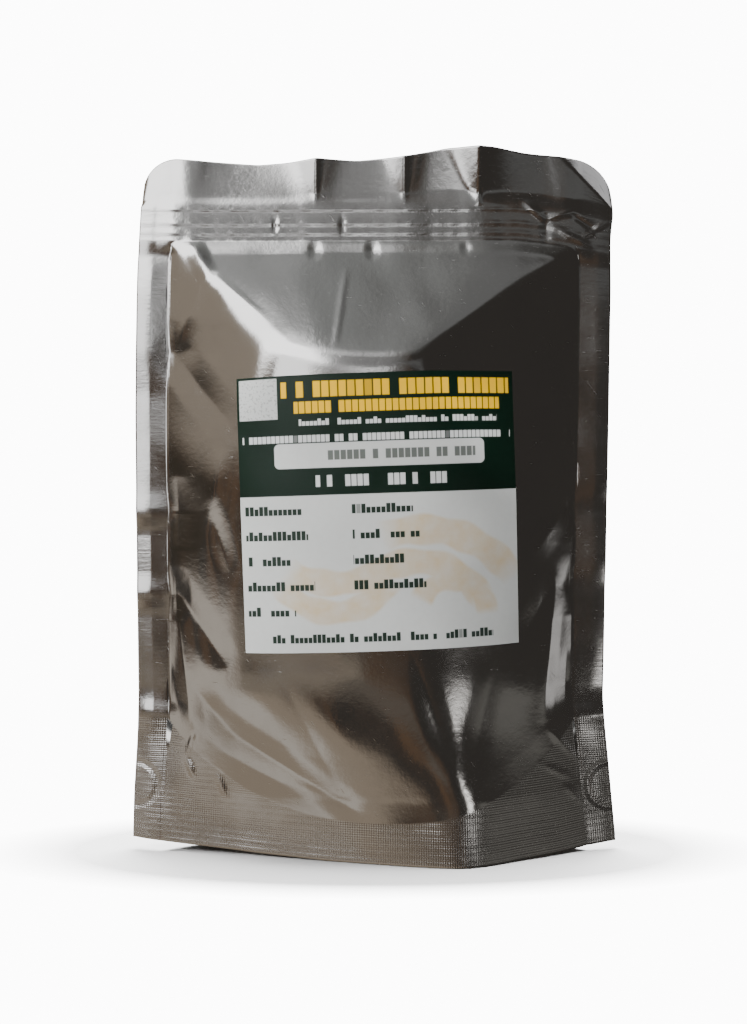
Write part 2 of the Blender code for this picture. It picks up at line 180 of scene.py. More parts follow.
# Place, height, spread and added rounding
SOFT_RIDGE = (-36.0, 177.0, 13.0, 1.0)
BASE_BLEND = (2.0, 62.0)
BASE_SLIDE = 0.28
BASE_SLIDE_FROM = 20.0


def planes(c, r, front):
    across = np.clip(np.abs(c) / INNER, 0.0, 1.0)
    body = (BODY_DEPTH - (0.0 if front else BACK_FLATTER)) * (1.0 - across**BODY_POWER)
    top = TOP_SLOPE * (ZIP_LOW - r)
    lower = smooth(*LOWER_ZONE, r)
    left, right = SIDE_SLOPES_FRONT if front else SIDE_SLOPES_BACK
    left = left + SHOULDER_STEEPER * smooth(*SHOULDER_ZONE, r) + LOWER_STEEPER[0] * lower
    right = right + LOWER_STEEPER[1] * lower
    rounding = RIDGE_ROUND
    if front:
        place, height, spread, extra = SOFT_RIDGE
        rounding = rounding + extra * np.exp(-(((c - place) / spread) ** 2) - ((r - height) / spread) ** 2)
    upper = least((body, top, left * (c + INNER), right * (INNER - c)), rounding)
    slide = BASE_SLIDE * np.maximum(r - BASE_SLIDE_FROM, 0.0) * (1.0 - across**2)
    base = front_base(c + slide) if front else back_base(c)
    return base + (upper - base) * smooth(*BASE_BLEND, r)


print("planes at mid height:", round(float(planes(0.0, 110.0, True)), 1), "mm in front")

# %% [markdown]
# ## Folds from the seals, and dimples
# Where a side seal buckles, a short fold runs into the wall like the mark of a thumb. Closing the zip leaves
# small dimples below it. They could be sculpted, but a short list of cones keeps each where it belongs, and
# sharp.

# %% Folds and dimples
# Each fold: side, height, reach inward, half height, depth
FRONT_FOLDS = (
    (-1, 164, 13, 11, 1.3),
    (-1, 111, 16, 12, 1.7),
    (-1, 84, 9, 9, 1.4),
    (1, 112.6, 12, 11, 1.7),
    (1, 87, 8, 10, 1.5),
    (1, 55, 12, 12, 1.6),
)
BACK_FOLDS = (
    (-1, 132, 14, 12, 1.5),
    (-1, 72, 11, 11, 1.4),
    (1, 150, 12, 12, 1.4),
    (1, 98, 15, 12, 1.6),
    (1, 62, 9, 9, 1.2),
)
# Each dimple: place, height, half width, half height, depth
FRONT_DIMPLES = (
    (-19.8, 197.5, 2.8, 4.4, 0.3),
    (-0.6, 197.5, 2.6, 4.4, 0.3),
    (30.6, 198.0, 2.0, 3.0, 0.22),
)
BACK_DIMPLES = (
    (-30, 196, 8, 7, 0.9),
    (14, 197, 7, 6, 0.8),
)


def bulge(c, r, front):
    depth = planes(c, r, front)
    for side, height, reach, half, cut in FRONT_FOLDS if front else BACK_FOLDS:
        inward = (INNER - side * c) / reach
        tall = 1.0 - np.abs(r - height) / half
        run = np.clip(1.0 - inward, 0.0, 1.0) * np.clip(inward * 4.0, 0.0, 1.0)
        depth = depth - cut * np.clip(tall, 0.0, 1.0) * run
    for place, height, wide, half, cut in FRONT_DIMPLES if front else BACK_DIMPLES:
        ring = np.hypot((c - place) / wide, (r - height) / half)
        depth = depth - cut * np.clip(1.0 - ring, 0.0, 1.0)
    flat = stack(c, r)
    inside = (np.abs(c) < INNER) & (r < ZIP_LOW)
    return np.where(inside, flat + np.maximum(depth, 0.0), flat)


print("depth in the middle:", round(float(bulge(0.0, 110.0, True)), 1), "mm in front")

# %% [markdown]
# ## The header
# Above the zip both walls hang together like a short curtain. It waves between crests, and three creases fan
# out from the zip to the top edge. Sine waves would be too even, so a table holds the crests, and each fan is
# a ridge that is steep on one side and long on the other.

# %% Wave and fans of the header
# Each crest: place, depth there, and sag on the way to the next
HEADER_CRESTS = (
    (-80, 1.6, 0.2),
    (-64, -0.2, 1.6),
    (-19.4, -1.8, 1.6),
    (10.2, -2.2, 1.8),
    (35, -3.4, 1.6),
    (64, -0.6, 0.4),
    (80, 1.4, 0.0),
)
HEADER_POWER = 4.0
# Each fan: place of its crease at the zip, width and height at the top edge
HEADER_FANS = ((-19.4, 7.0, 0.7), (10.2, 7.0, 0.75), (35.0, 13.0, 1.9))
FAN_START = 0.06
FAN_STEEPER = 2.5


def header_wave(c):
    places, crests, sags = (np.array(row) for row in zip(*HEADER_CRESTS))
    k = np.clip(np.searchsorted(places, c) - 1, 0, len(places) - 2)
    part = np.clip((c - places[k]) / (places[k + 1] - places[k]), 0.0, 1.0)
    hang = 1.0 - np.abs(2.0 * part - 1.0) ** HEADER_POWER
    return crests[k] + (crests[k + 1] - crests[k]) * part + sags[k] * hang


def fans(c, above):
    out = 0.0
    for place, wide, height in HEADER_FANS:
        away = (c - place) / (wide * (FAN_START + (1.0 - FAN_START) * above))
        out = out + height * above * np.clip(1.0 + np.minimum(away, away * -FAN_STEEPER), 0.0, 1.0) ** 1.5
    return out


print("header fans:", len(HEADER_FANS))

# %% [markdown]
# ## The outline
# A filled bag draws its side edges in where it is fattest, and its top edge dips and rises with the header's
# waves. Cutting the mesh to the outline would leave ragged edges, so the grid itself is moved. The tables
# hold how far each edge goes from the flat drawing, and the top corners are round.

# %% Places across and up
LEFT_EDGE = ((0, 0.2), (16, 0.5), (30, 1.3), (45, 2.1), (85, 1.6), (145, 0.8), (190, 1.3), (216, 2.7))
LEFT_EDGE += ((230, 2.8),)
RIGHT_EDGE = ((0, -0.2), (14, -1.4), (30, -2.8), (47, -4.5), (85, -3.8), (145, -2.4), (190, -1.5))
RIGHT_EDGE += ((207, -1.7), (213, -0.6), (230, -0.6))
TOP_EDGE = ((-80, -1.0), (-68, -1.6), (-40, -3.6), (-30, -3.0), (-19, -1.6), (-6, -2.4), (9, -1.2))
TOP_EDGE += ((24, 1.6), (40, 2.0), (50, 0.2), (68, -1.4), (80, -2.0))
ZIP_EDGE = ((-80, 0.4), (-60, 0.0), (48, 0.2), (56, -0.6), (80, -4.2))
BASE_LIFT = ((-80, 3.8), (-40, 1.0), (-15, 0.0), (40, 0.0), (60, 0.6), (80, 2.6))
BASE_LIFT_TOP = 34.0
STILL_HALF = 15.0
CORNER_RADIUS = 12.0


def place_x(c, r):
    left = along(LEFT_EDGE, r, 4.0) * np.clip((-STILL_HALF - c) / (INNER - STILL_HALF), 0.0, 1.0)
    right = along(RIGHT_EDGE, r, 4.0) * np.clip((c - STILL_HALF) / (INNER - STILL_HALF), 0.0, 1.0)
    return c + left + right


def place_z(c, r):
    over = np.clip(np.abs(c) - (EDGE - CORNER_RADIUS), 0.0, CORNER_RADIUS)
    corner = CORNER_RADIUS - np.sqrt(CORNER_RADIUS**2 - over**2)
    lift = along(BASE_LIFT, c) * np.clip(1.0 - r / BASE_LIFT_TOP, 0.0, 1.0)
    band = along(ZIP_EDGE, c) * smooth(170.0, ZIP_LOW, r)
    rise = along(TOP_EDGE, c) - along(ZIP_EDGE, c) - corner
    return r + lift + band + rise * np.clip((r - ZIP_HIGH) / (FLAT_HEIGHT - ZIP_HIGH), 0.0, 1.0)


print("top edge at the middle:", round(float(place_z(0.0, FLAT_HEIGHT)), 1), "mm")

# %% [markdown]
# ## The sheet between the walls
# Both walls stand off one bent sheet, which leans back as it rises, buckles along the side seals and folds
# over at the top right corner. Bending one sheet keeps the walls together at every seal, whatever the buckles
# do.

# %% Middle sheet
LEAN = 7.0
LEAN_POWER = 1.6
ZIP_WAVE = 0.2
LEFT_BUCKLES = ((0, 0), (38, 0.1), (46, -0.5), (52, 0.1), (78, 0.5), (84, -0.4), (90, 0.3), (105, 0.5))
LEFT_BUCKLES += ((111, -0.6), (118, 0.2), (150, 0.5), (164, -0.4), (184, -0.2), (200, 0))
RIGHT_BUCKLES = ((0, 0), (38, 0), (45, -0.4), (52, 0.4), (70, 0.2), (87, 0.5), (94, -0.3), (108, 0))
RIGHT_BUCKLES += ((113, 0.5), (120, -0.1), (170, 0.2), (200, 0))
BASE_TURN = ((46, 0.0), (70, -1.8), (80, 1.2))
CORNER_CREASE = 291.6
CORNER_BEND = 0.39
EDGE_CURL = 0.4


def middle(c, r):
    lean = LEAN * (np.clip(r, 0.0, None) / FLAT_HEIGHT) ** LEAN_POWER
    above = np.clip((r - ZIP_HIGH) / (FLAT_HEIGHT - ZIP_HIGH), 0.0, 1.0)
    band = ZIP_WAVE * smooth(180.0, ZIP_LOW, r)
    soft = sum(header_wave(c + step) for step in range(-5, 6)) / 11.0
    left = smooth(-INNER + 8.0, -EDGE, c) * along(LEFT_BUCKLES, r)
    right = smooth(INNER - 8.0, EDGE, c) * along(RIGHT_BUCKLES, r)
    corners = along(BASE_TURN, np.abs(c)) * np.clip((75.0 - r) / 55.0, 0.0, 1.0)
    bent = CORNER_BEND * np.maximum(c + place_z(c, r) - CORNER_CREASE, 0.0)
    fanned = sum(header_wave(c + step * (1.0 + 4.0 * above)) for step in np.linspace(-1.0, 1.0, 9)) / 9.0
    waves = band * soft + (1.0 - ZIP_WAVE) * above * fanned - fans(c, above)
    curl = EDGE_CURL * np.clip((np.abs(c) - INNER - 5.0) / 5.0, 0.0, 1.0) ** 2
    return lean + waves + left + right + corners + bent + curl


print("lean at the top:", round(float(middle(0.0, FLAT_HEIGHT)), 1), "mm")

# %% [markdown]
# ## Pleats
# Foil shows its folds as thin bright and dark lines, so they carry most of the likeness. A pleat is a
# straight ridge or groove between two points, highest halfway. Each line below is one that a handled pouch of
# this kind shows.

# %% Pleats
# Each pleat: start, end, half width, height outward
FRONT_PLEATS = (
    ((-9.3, 190), (-12.3, 164), 1.6, 0.16),
    ((-62, 200), (-54, 187), 4.0, 0.9),
    ((-50, 186), (-34, 172), 2.0, 0.3),
    ((-67, 163), (-46, 138), 8.0, -0.8),
    ((-67, 163), (-58, 186), 5.0, 0.5),
    ((-53, 111.5), (-47, 92), 5.0, -0.7),
    ((-53, 111.5), (-50, 132), 5.0, 0.5),
    ((-67, 87), (-60, 36), 5.0, 1.0),
    ((-67, 87), (-48, 62), 7.0, -0.7),
    ((66, 113), (52, 96), 6.0, 0.7),
    ((66, 113), (56, 140), 6.0, -0.6),
    ((62, 89), (50, 70), 6.0, -0.7),
    ((62, 89), (58, 46), 4.0, 0.9),
    ((12, 66), (24, 34), 6.0, -0.4),
    ((40, 62), (30, 24), 6.0, -0.3),
    ((-30, 60), (-8, 18), 9.0, -0.3),
    ((-60, 54), (-45, 39.5), 6.0, -0.5),
    ((-49, 42), (-25, 28.5), 6.5, -0.6),
    ((-29, 30.5), (-4, 15.5), 6.0, -0.5),
    ((50, 214), (58, 208), 1.8, 0.35),
    ((58, 209), (67, 213), 1.6, 0.3),
    ((62, 206), (74, 202), 1.8, 0.35),
    ((66, 212), (76, 207), 1.6, -0.3),
    ((70, 204), (78, 211), 1.4, 0.3),
    ((60, 41), (69, 30), 2.0, 0.5),
    ((56, 30), (66, 24), 1.8, 0.4),
    ((64, 22), (70, 14), 1.6, 0.35),
    ((-60, 39), (-62.5, 31), 1.6, 0.8),
    ((-62.5, 31), (-59.5, 24), 1.6, 0.9),
    ((-51.5, 26), (-48.5, 18), 1.6, 0.8),
)
BACK_PLEATS = (
    ((-58, 190), (-20, 160), 6.0, 0.6),
    ((62, 192), (24, 158), 6.0, 0.6),
    ((-12, 196), (-4, 168), 3.5, 0.4),
    ((-66, 132), (-40, 118), 6.0, -0.7),
    ((66, 98), (44, 84), 6.0, 0.8),
    ((-60, 72), (-36, 60), 6.0, 0.7),
    ((10, 60), (-6, 20), 7.0, -0.7),
    ((40, 44), (28, 16), 5.0, 0.6),
)


def pleat(c, r, start, end, half, height):
    (c0, r0), (c1, r1) = start, end
    length = math.hypot(c1 - c0, r1 - r0)
    along_c, along_r = (c1 - c0) / length, (r1 - r0) / length
    part = np.clip(((c - c0) * along_c + (r - r0) * along_r) / length, 0.0, 1.0)
    away = np.hypot(c - c0 - part * length * along_c, r - r0 - part * length * along_r)
    taper = 1.0 - (2.0 * part - 1.0) ** 2 * 0.8
    return height * taper * np.clip(1.0 - away / half, 0.0, 1.0) ** 1.3


print("pleats:", len(FRONT_PLEATS), "in front,", len(BACK_PLEATS), "behind")


# %% [markdown]
# ## Ripple
# Even tight film isn't flat: it lies over lumps of the contents. A few bent waves in chance directions are
# enough, each from a fixed seed. Noise in the material could fake it, but a mirror shows at once where a
# shape is missing.

# %% Ripple of the tight film
def ripple(c, r, wavelength, seed):
    rng = np.random.default_rng(seed)
    total = np.zeros(np.broadcast(c, r).shape)
    for _ in range(7):
        turn, phase = rng.uniform(0.0, math.tau, 2)
        stretch = rng.uniform(0.7, 1.5)
        wave = (c * math.cos(turn) + r * math.sin(turn)) * math.tau / (wavelength * stretch)
        total = total + np.sin(wave + phase + 0.6 * np.sin(wave * 0.43 + phase * 2.0))
    return total / 7.0


print("ripple at the middle:", round(float(ripple(0.0, 110.0, 46.0, 3)), 2))

# %% [markdown]
# ## Marks of the seals and the zip
# The left side seal is pressed to a low roof, and a soft crest runs above the bottom seal, where the film
# starts to swing out. The zip's ribs print through the walls as thin lines, crushed in places. Bump could
# fake them, but a mirror shows the difference, so they are in the mesh.

# %% Marks of the seals and the zip
SEAL_RIDGE = 0.25
CREST_HEIGHT = 0.35
ZIP_SWELL = 0.12
# Each ridge: height up the wall, half width, height outward
ZIP_RIDGES = ((211.2, 0.6, 0.1), (206.6, 0.9, 0.1), (203.4, 0.9, 0.1), (200.9, 0.7, 0.08))
# Each mark: place, height up the wall, half width, half height, depth
CRUSH_MARKS = ((-33.7, 206.0, 0.8, 2.8, 0.2), (-10.5, 206.0, 0.8, 2.8, 0.2), (58, 206, 1.4, 3.6, 0.25))


def seal_marks(out, c, r, front):
    if front:
        roof = np.clip(1.0 - np.abs(c + EDGE - 5.0) / 5.0, 0.0, 1.0)
        out = out + SEAL_RIDGE * roof * smooth(196.0, 188.0, r)
    crest = np.clip((r - seal_height(c)) / 20.0, 0.0, 1.0)
    fading = 1.0 - 0.75 * smooth(-14.0, 12.0, c)
    part = smooth(-INNER + 2.0, -INNER + 14.0, c) * fading * smooth(INNER, INNER - 20.0, c)
    return out + CREST_HEIGHT * np.minimum(crest * 2.4, (1.0 - crest) * 1.7) * part * (r < 70)


def zip_marks(out, c, r):
    press = 0.75 + 0.25 * np.sin(c * 0.9) * np.sin(c * 0.37 + 1.0)
    across = 1.0 - 0.6 * smooth(INNER - 4.0, INNER + 4.0, np.abs(c))
    for line, width, height in ZIP_RIDGES:
        out = out + across * press * height * np.exp(-(((r - line) / width) ** 2))
    for place, line, wide, half, cut in CRUSH_MARKS:
        out = out - cut * np.exp(-(((c - place) / wide) ** 2) - ((r - line) / half) ** 2)
    return out + ZIP_SWELL * zip_zone(r)


print("zip lines:", len(ZIP_RIDGES), "with", len(CRUSH_MARKS), "crushed places")

# %% [markdown]
# ## The walls as one formula
# A wall is the middle sheet, plus its depth, plus the fine relief. One formula serves both walls, so they
# meet at every seal. The relief could take the pouch past the solids' box, so a small trim draws the body in
# and the top edge down.

# %% Walls as a formula
TRIM = 0.15
LONG_WAVE = 46.0
SHORT_WAVE = 15.0


def relief(c, r, front):
    inside = smooth(EDGE, INNER - 6.0, np.abs(c))
    body = smooth(1.0, 14.0, r) * (1.0 - smooth(196.0, ZIP_LOW, r)) * inside
    long_ripple = ripple(c, r, LONG_WAVE, 3 if front else 8)
    short_ripple = ripple(c, r, SHORT_WAVE, 4 if front else 9)
    out = body * (0.55 * long_ripple + 0.1 * short_ripple)
    for start, end, half, height in FRONT_PLEATS if front else BACK_PLEATS:
        out = out + pleat(c, r, start, end, half, height)
    out = seal_marks(out, c, r, front)
    return zip_marks(out, c, r) - TRIM * body


def wall(c, r, front, depth=0.0, fine=True):
    out = bulge(c, r, front) - depth
    if fine:
        out = out + relief(c, r, front)
    y = middle(c, r) - out if front else middle(c, r) + out
    return np.stack(np.broadcast_arrays(place_x(c, r), y, place_z(c, r) - TRIM * r / FLAT_HEIGHT), axis=-1)


print("relief at the label's middle:", round(float(relief(0.0, 110.0, True)), 2), "mm")

# %% [markdown]
# ## Sheets into meshes
# Each film is a fine grid on the side that shows and a grid four times coarser on the hidden side, joined by
# a rim. Solidify would do it with twice the faces. These helpers list a grid's faces and the ring of points
# round it.

# %% Grid helpers
COARSE = 4


def border(rows, columns):
    ring = [(0, j) for j in range(columns)]
    ring += [(i, columns - 1) for i in range(1, rows)]
    ring += [(rows - 1, j) for j in range(columns - 2, -1, -1)]
    return ring + [(i, 0) for i in range(rows - 2, 0, -1)]


def quads(rows, columns, start, flip):
    i, j = np.meshgrid(np.arange(rows - 1), np.arange(columns - 1), indexing="ij")
    a = (start + i * columns + j).ravel()
    ring = np.stack((a, a + 1, a + columns + 1, a + columns), axis=1)
    return (ring[:, ::-1] if flip else ring).tolist()


def rim(outer, inner, flip):
    faces = []
    half = COARSE // 2
    for k, here in enumerate(inner):
        there = inner[(k + 1) % len(inner)]
        run = [outer[(k * COARSE + step) % len(outer)] for step in range(COARSE + 1)]
        fan = [(run[s], here, run[s + 1]) for s in range(half)] + [(run[half], here, there)]
        fan += [(run[s], there, run[s + 1]) for s in range(half, COARSE)]
        faces += [face[::-1] for face in fan] if flip else fan
    return faces


print("coarse side:", COARSE, "times fewer lines")


# %% [markdown]
# The flat pattern's places go into a UV map, because seals, scuffs and print follow the film and not the
# room. The materials and the label's tree both read that map.

# %% Sheet mesh
def as_pattern(c, r):
    return np.stack((c / FLAT_HEIGHT + 0.5, r / FLAT_HEIGHT), axis=-1)


def sheet_mesh(name, fine, coarse, pattern, coarse_pattern, flip):
    grid_rows, grid_columns = fine.shape[:2]
    low_rows, low_columns = coarse.shape[:2]
    hidden = grid_rows * grid_columns
    points = np.concatenate((fine.reshape(-1, 3), coarse.reshape(-1, 3))) * MM
    outer = [i * grid_columns + j for i, j in border(grid_rows, grid_columns)]
    inner = [hidden + i * low_columns + j for i, j in border(low_rows, low_columns)]
    faces = quads(grid_rows, grid_columns, 0, flip) + quads(low_rows, low_columns, hidden, not flip)
    mesh = bpy.data.meshes.new(name)
    mesh.from_pydata(points.tolist(), [], faces + rim(outer, inner, flip))
    places = np.concatenate((pattern.reshape(-1, 2), coarse_pattern.reshape(-1, 2)))
    uv = mesh.uv_layers.new(name="pattern")
    loops = np.empty(len(mesh.loops), dtype=np.int32)
    mesh.loops.foreach_get("vertex_index", loops)
    uv.data.foreach_set("uv", places[loops].astype(np.float32).ravel())
    mesh.polygons.foreach_set("use_smooth", np.ones(len(mesh.polygons), dtype=bool))
    mesh.validate()
    mesh.update()
    piece = bpy.data.objects.new(name, mesh)
    bpy.context.scene.collection.objects.link(piece)
    return piece


print("the pattern map spans", FLAT_HEIGHT, "mm each way")


# %% [markdown]
# ## Front and back walls
# The walls are the two big pieces of film. Subdividing a coarse mesh would round the creases off, so the grid
# is fine from the start, and finest at the side seals, the zip and the header, where the small forms are.

# %% Front and back walls
def spaced(stops, counts):
    parts = [np.linspace(a, b, n, endpoint=False) for (a, b), n in zip(zip(stops, stops[1:]), counts)]
    return np.concatenate((*parts, [stops[-1]]))


columns = spaced((-80, -66, 66, 80), (28, 188, 28))
rows = spaced((0, 196, 216, 230), (272, 52, 24))
walls = {}
for name, front in (("foil_front", True), ("foil_back", False)):
    grid_c, grid_r = np.meshgrid(columns, rows)
    low_c, low_r = grid_c[::COARSE, ::COARSE], grid_r[::COARSE, ::COARSE]
    shown = wall(grid_c, grid_r, front)
    hidden = wall(low_c, low_r, front, FILM)
    walls[name] = sheet_mesh(name, shown, hidden, as_pattern(grid_c, grid_r), as_pattern(low_c, low_r), not front)
    print(name, len(walls[name].data.polygons), "faces")

# %% [markdown]
# ## The bottom fold
# The third film lies sealed behind both walls below the curved line, then runs free from wall to wall as the
# floor. Its free length is what is left of the fold's depth, and that sets how high the floor hangs near the
# sides. Half-moon notches at its ends let the walls weld to each other. Each line here runs down one wall and
# up the other.

# %% One line of the bottom film
NOTCH_HEIGHT = 20.0
NOTCH_RADIUS = 8.0
SKIRT_GAP = 0.25
FLOOR_HALF_DEPTH = 11.0


def notched(c, r):
    depth = np.sqrt(np.clip(NOTCH_RADIUS**2 - (r - NOTCH_HEIGHT) ** 2, 0.0, None))
    return c - math.copysign(1.0, c) * depth * max(abs(c) - INNER, 0.0) / SIDE_SEAL


def gusset_line(c):
    top = float(seal_height(c))
    leaf = np.linspace(0.0, top, 21)
    gap = SEAL_GAP if abs(c) >= INNER else SKIRT_GAP
    halves = [wall(notched(c, leaf), leaf, front, FILM + gap * 2.0, fine=False) for front in (True, False)]
    middle_y = float(middle(c, top))
    free = GUSSET_FOLD - top
    drops = [math.sqrt(max(free**2 - (half[-1, 1] - middle_y) ** 2, 0.0)) for half in halves]
    floor_z = max(float(halves[0][-1, 2]) - min(drops), FILM * 1.5)
    level = FLOOR_HALF_DEPTH * (1.0 - float(smooth(30.0, 62.0, abs(c))))
    floor = []
    for half, sign in ((halves[0], -1), (halves[1], 1)):
        edge_x, edge_y, edge_z = half[-1]
        depth = abs(edge_y - middle_y)
        near = min(max(level, depth * 0.3), depth * 0.6)
        stops = [(depth, edge_z), ((depth + near) / 2, (edge_z + floor_z) / 2), (near, floor_z), (0.0, floor_z)]
        deep = np.interp(np.linspace(0, 3, 13), range(4), [stop[0] for stop in stops])[1:]
        tall = np.interp(np.linspace(0, 3, 13), range(4), [stop[1] for stop in stops])[1:]
        floor.append(np.stack((np.full(12, edge_x), middle_y + sign * deep, tall), axis=-1))
    line = np.concatenate((halves[0], floor[0], floor[1][-2::-1], halves[1][::-1]))
    return line[: len(line) - (len(line) - 1) % COARSE]


print("points in a line:", len(gusset_line(0.0)))

# %% [markdown]
# The film's underside could come from Solidify, which offsets both ends too. Here each line is moved out by a
# little less than its thickness, square to its own run, which keeps its ends inside the seals.

# %% Bottom film
UNDER_DEPTH = FILM * 0.8
lines = np.array([gusset_line(float(c)) for c in spaced((-80, -66, 66, 80), (12, 76, 12))])
runs = np.gradient(lines[:, :, 1:], axis=1)
runs /= np.maximum(np.linalg.norm(runs, axis=2, keepdims=True), 1e-9)
under = lines.copy()
under[:, :, 1] += runs[:, :, 1] * UNDER_DEPTH
under[:, :, 2] -= runs[:, :, 0] * UNDER_DEPTH
gusset_pattern = np.stack((lines[:, :, 0] / FLAT_HEIGHT + 0.5, lines[:, :, 2] / FLAT_HEIGHT), axis=-1)
every = (slice(None, None, COARSE), slice(None, None, COARSE))
gusset = sheet_mesh("foil_gusset", under, lines[every], gusset_pattern, gusset_pattern[every], flip=False)
print("foil_gusset", len(gusset.data.polygons), "faces")


# %% [markdown]
# ## Sums of sockets
# Materials here are formulas of the place on the flat pattern. Linking Math nodes by hand hides the formula,
# so a small class lets them be written as sums: an expression on values adds its nodes.

# %% Field
class Field:
    def __init__(self, tree, socket):
        self.tree = tree
        self.socket = socket

    def math(self, operation, *others):
        node = self.tree.nodes.new("ShaderNodeMath")
        node.operation = operation
        for slot, value in zip(node.inputs, (self, *others)):
            plug(self.tree, slot, value)
        return Field(self.tree, node.outputs[0])

    def __add__(self, other):
        return self.math("ADD", other)

    def __radd__(self, other):
        return self.math("ADD", other)

    def __sub__(self, other):
        return self.math("SUBTRACT", other)

    def __rsub__(self, other):
        return (self * -1.0).math("ADD", other)

    def __mul__(self, other):
        return self.math("MULTIPLY", other)

    def __rmul__(self, other):
        return self.math("MULTIPLY", other)

    def __truediv__(self, other):
        return self.math("DIVIDE", other)

    def ramp(self, low, high):
        return ((self - low) / (high - low)).math("MAXIMUM", 0.0).math("MINIMUM", 1.0)


def plug(tree, slot, value):
    if isinstance(value, Field):
        tree.links.new(value.socket, slot)
    else:
        slot.default_value = value


print("a Field adds, subtracts, multiplies, divides and ramps")


# %% [markdown]
# A finish needs the same few nodes again and again, and nodes placed by hand can't be read in a script. One
# helper adds any node: its type, its settings, and the values or links of its sockets by name. The rest are
# the nodes that every finish here needs.

# %% Node helpers
def add(tree, kind, output=0, settings=(), **inputs):
    node = tree.nodes.new(kind)
    for key, value in dict(settings).items():
        setattr(node, key, value)
    for key, value in inputs.items():
        plug(tree, node.inputs[key.replace("_", " ")], value)
    return Field(tree, node.outputs[output])


def mixed(tree, part, low, high):
    node = tree.nodes.new("ShaderNodeMix")
    node.data_type = "RGBA"
    plug(tree, node.inputs[0], part)
    plug(tree, node.inputs[6], low if isinstance(low, Field) else (*low, 1.0))
    plug(tree, node.inputs[7], high if isinstance(high, Field) else (*high, 1.0))
    return Field(tree, node.outputs[2])


def noise(tree, vector, scale, detail=2.0, roughness=0.5):
    return add(tree, "ShaderNodeTexNoise", Vector=vector, Scale=scale, Detail=detail, Roughness=roughness)


def vector(tree, x, y, z=0.0):
    return add(tree, "ShaderNodeCombineXYZ", X=x, Y=y, Z=z)


def split(tree, place):
    parts = tree.nodes.new("ShaderNodeSeparateXYZ")
    tree.links.new(place.socket, parts.inputs[0])
    return [Field(tree, output) for output in parts.outputs]


def pattern_place(tree, scale):
    across, up, _ = split(tree, add(tree, "ShaderNodeUVMap", settings={"uv_map": "pattern"}))
    return (across - 0.5) * scale, up * scale


def new_material(name):
    material = bpy.data.materials.new(name)
    material.use_nodes = True
    return material, material.node_tree, material.node_tree.nodes["Principled BSDF"]


def finish_with(tree, shader, colour, rough, height=None):
    tree.links.new(colour.socket, shader.inputs["Base Color"])
    tree.links.new(rough.socket, shader.inputs["Roughness"])
    if height is not None:
        bump = add(tree, "ShaderNodeBump", Strength=1.0, Distance=MM, Height=height)
        tree.links.new(bump.socket, shader.inputs["Normal"])


print("node helpers ready")


# %% [markdown]
# ## Foil
# The heated jaws of the sealing machine print their knurl into the bottom seal, a fine weave with rows across
# it, and stamp a half-moon weld at each side. Beside them the side seals are only combed. All of it is far
# below a millimetre, so it goes into a bump and not into the mesh.

# %% Embossing of the seals
def embossed(tree, c, r):
    side = c.math("ABSOLUTE")
    part = (side / INNER).math("MINIMUM", 1.0).math("POWER", SEAL_CURVE)
    seal = (part * (GUSSET_FOLD - CENTRE_SEAL) + CENTRE_SEAL - r).ramp(-0.4, 0.4)
    edge = (side - INNER).ramp(-0.5, 0.5) * (1.0 - seal)
    weave = ((c + r) * (math.tau / 1.5)).math("SINE") * ((c - r) * (math.tau / 1.5)).math("SINE")
    cross_rows = (r * (math.tau / 1.1)).math("SINE")
    patchy = noise(tree, vector(tree, c, r), 0.06, 2.0).ramp(0.35, 0.65) * 0.7 + 0.3
    combed = noise(tree, vector(tree, c * 0.16, r * 1.1), 1.0, 2.0)
    weld = (side - EDGE) * (side - EDGE) + (r - NOTCH_HEIGHT) * (r - NOTCH_HEIGHT)
    ring = (weld.math("SQRT") - NOTCH_RADIUS).math("ABSOLUTE")
    knurl = weave * seal * patchy * 0.04 + cross_rows * seal * patchy * 0.01
    return seal, edge, knurl + combed * edge * 0.018 - (1.0 - ring.ramp(0.2, 1.6)) * 0.28


print("weld:", NOTCH_RADIUS, "mm round,", NOTCH_HEIGHT, "mm up")


# %% [markdown]
# Metallised film is a mirror that is never quite clean: its lacquer has a faint orange peel, and handling
# leaves hazy patches and two sets of fine scratches, one level and one slanting. The bottom film has no print
# of the jaws.

# %% Foil material
def foil(name, tint, sealed):
    material, tree, shader = new_material(name)
    c, r = pattern_place(tree, FLAT_HEIGHT)
    place = vector(tree, c, r)
    haze = noise(tree, place, 0.045, 4.0, 0.6).ramp(0.42, 0.7)
    level = noise(tree, vector(tree, c * 0.16, r * 2.6), 1.0, 3.0, 0.7).ramp(0.66, 0.74)
    slant = vector(tree, c * 0.9 + r * 0.75, r * 0.09 - c * 0.11)
    scratch = level + noise(tree, slant, 1.0, 2.0, 0.6).ramp(0.7, 0.76)
    rough = haze * 0.1 + scratch * 0.2 + 0.1
    height = noise(tree, place, 0.55, 3.0, 0.6) * 0.025 + scratch * -0.006
    if sealed:
        seal, edge, print_of_jaws = embossed(tree, c, r)
        rough = rough + seal * 0.1 + edge * 0.04
        height = height + print_of_jaws
    finish_with(tree, shader, mixed(tree, haze, tint, tuple(v * 0.93 for v in tint)), rough, height)
    shader.inputs["Metallic"].default_value = 1.0
    print(name, len(tree.nodes), "nodes")
    return material


foil_skin = foil("foil_skin", (0.84, 0.83, 0.82), True)
foil_under = foil("foil_under", (0.7, 0.69, 0.68), False)


# %% [markdown]
# ## Print on the label
# The label is printed with rows of plain blocks. An image would blur when seen close, and text objects would
# need a mesh each. So a row is cut into cells, chance decides which cells are tall, and a slow noise along
# the row opens gaps. Distances from lines and circles stay sharp at any size.

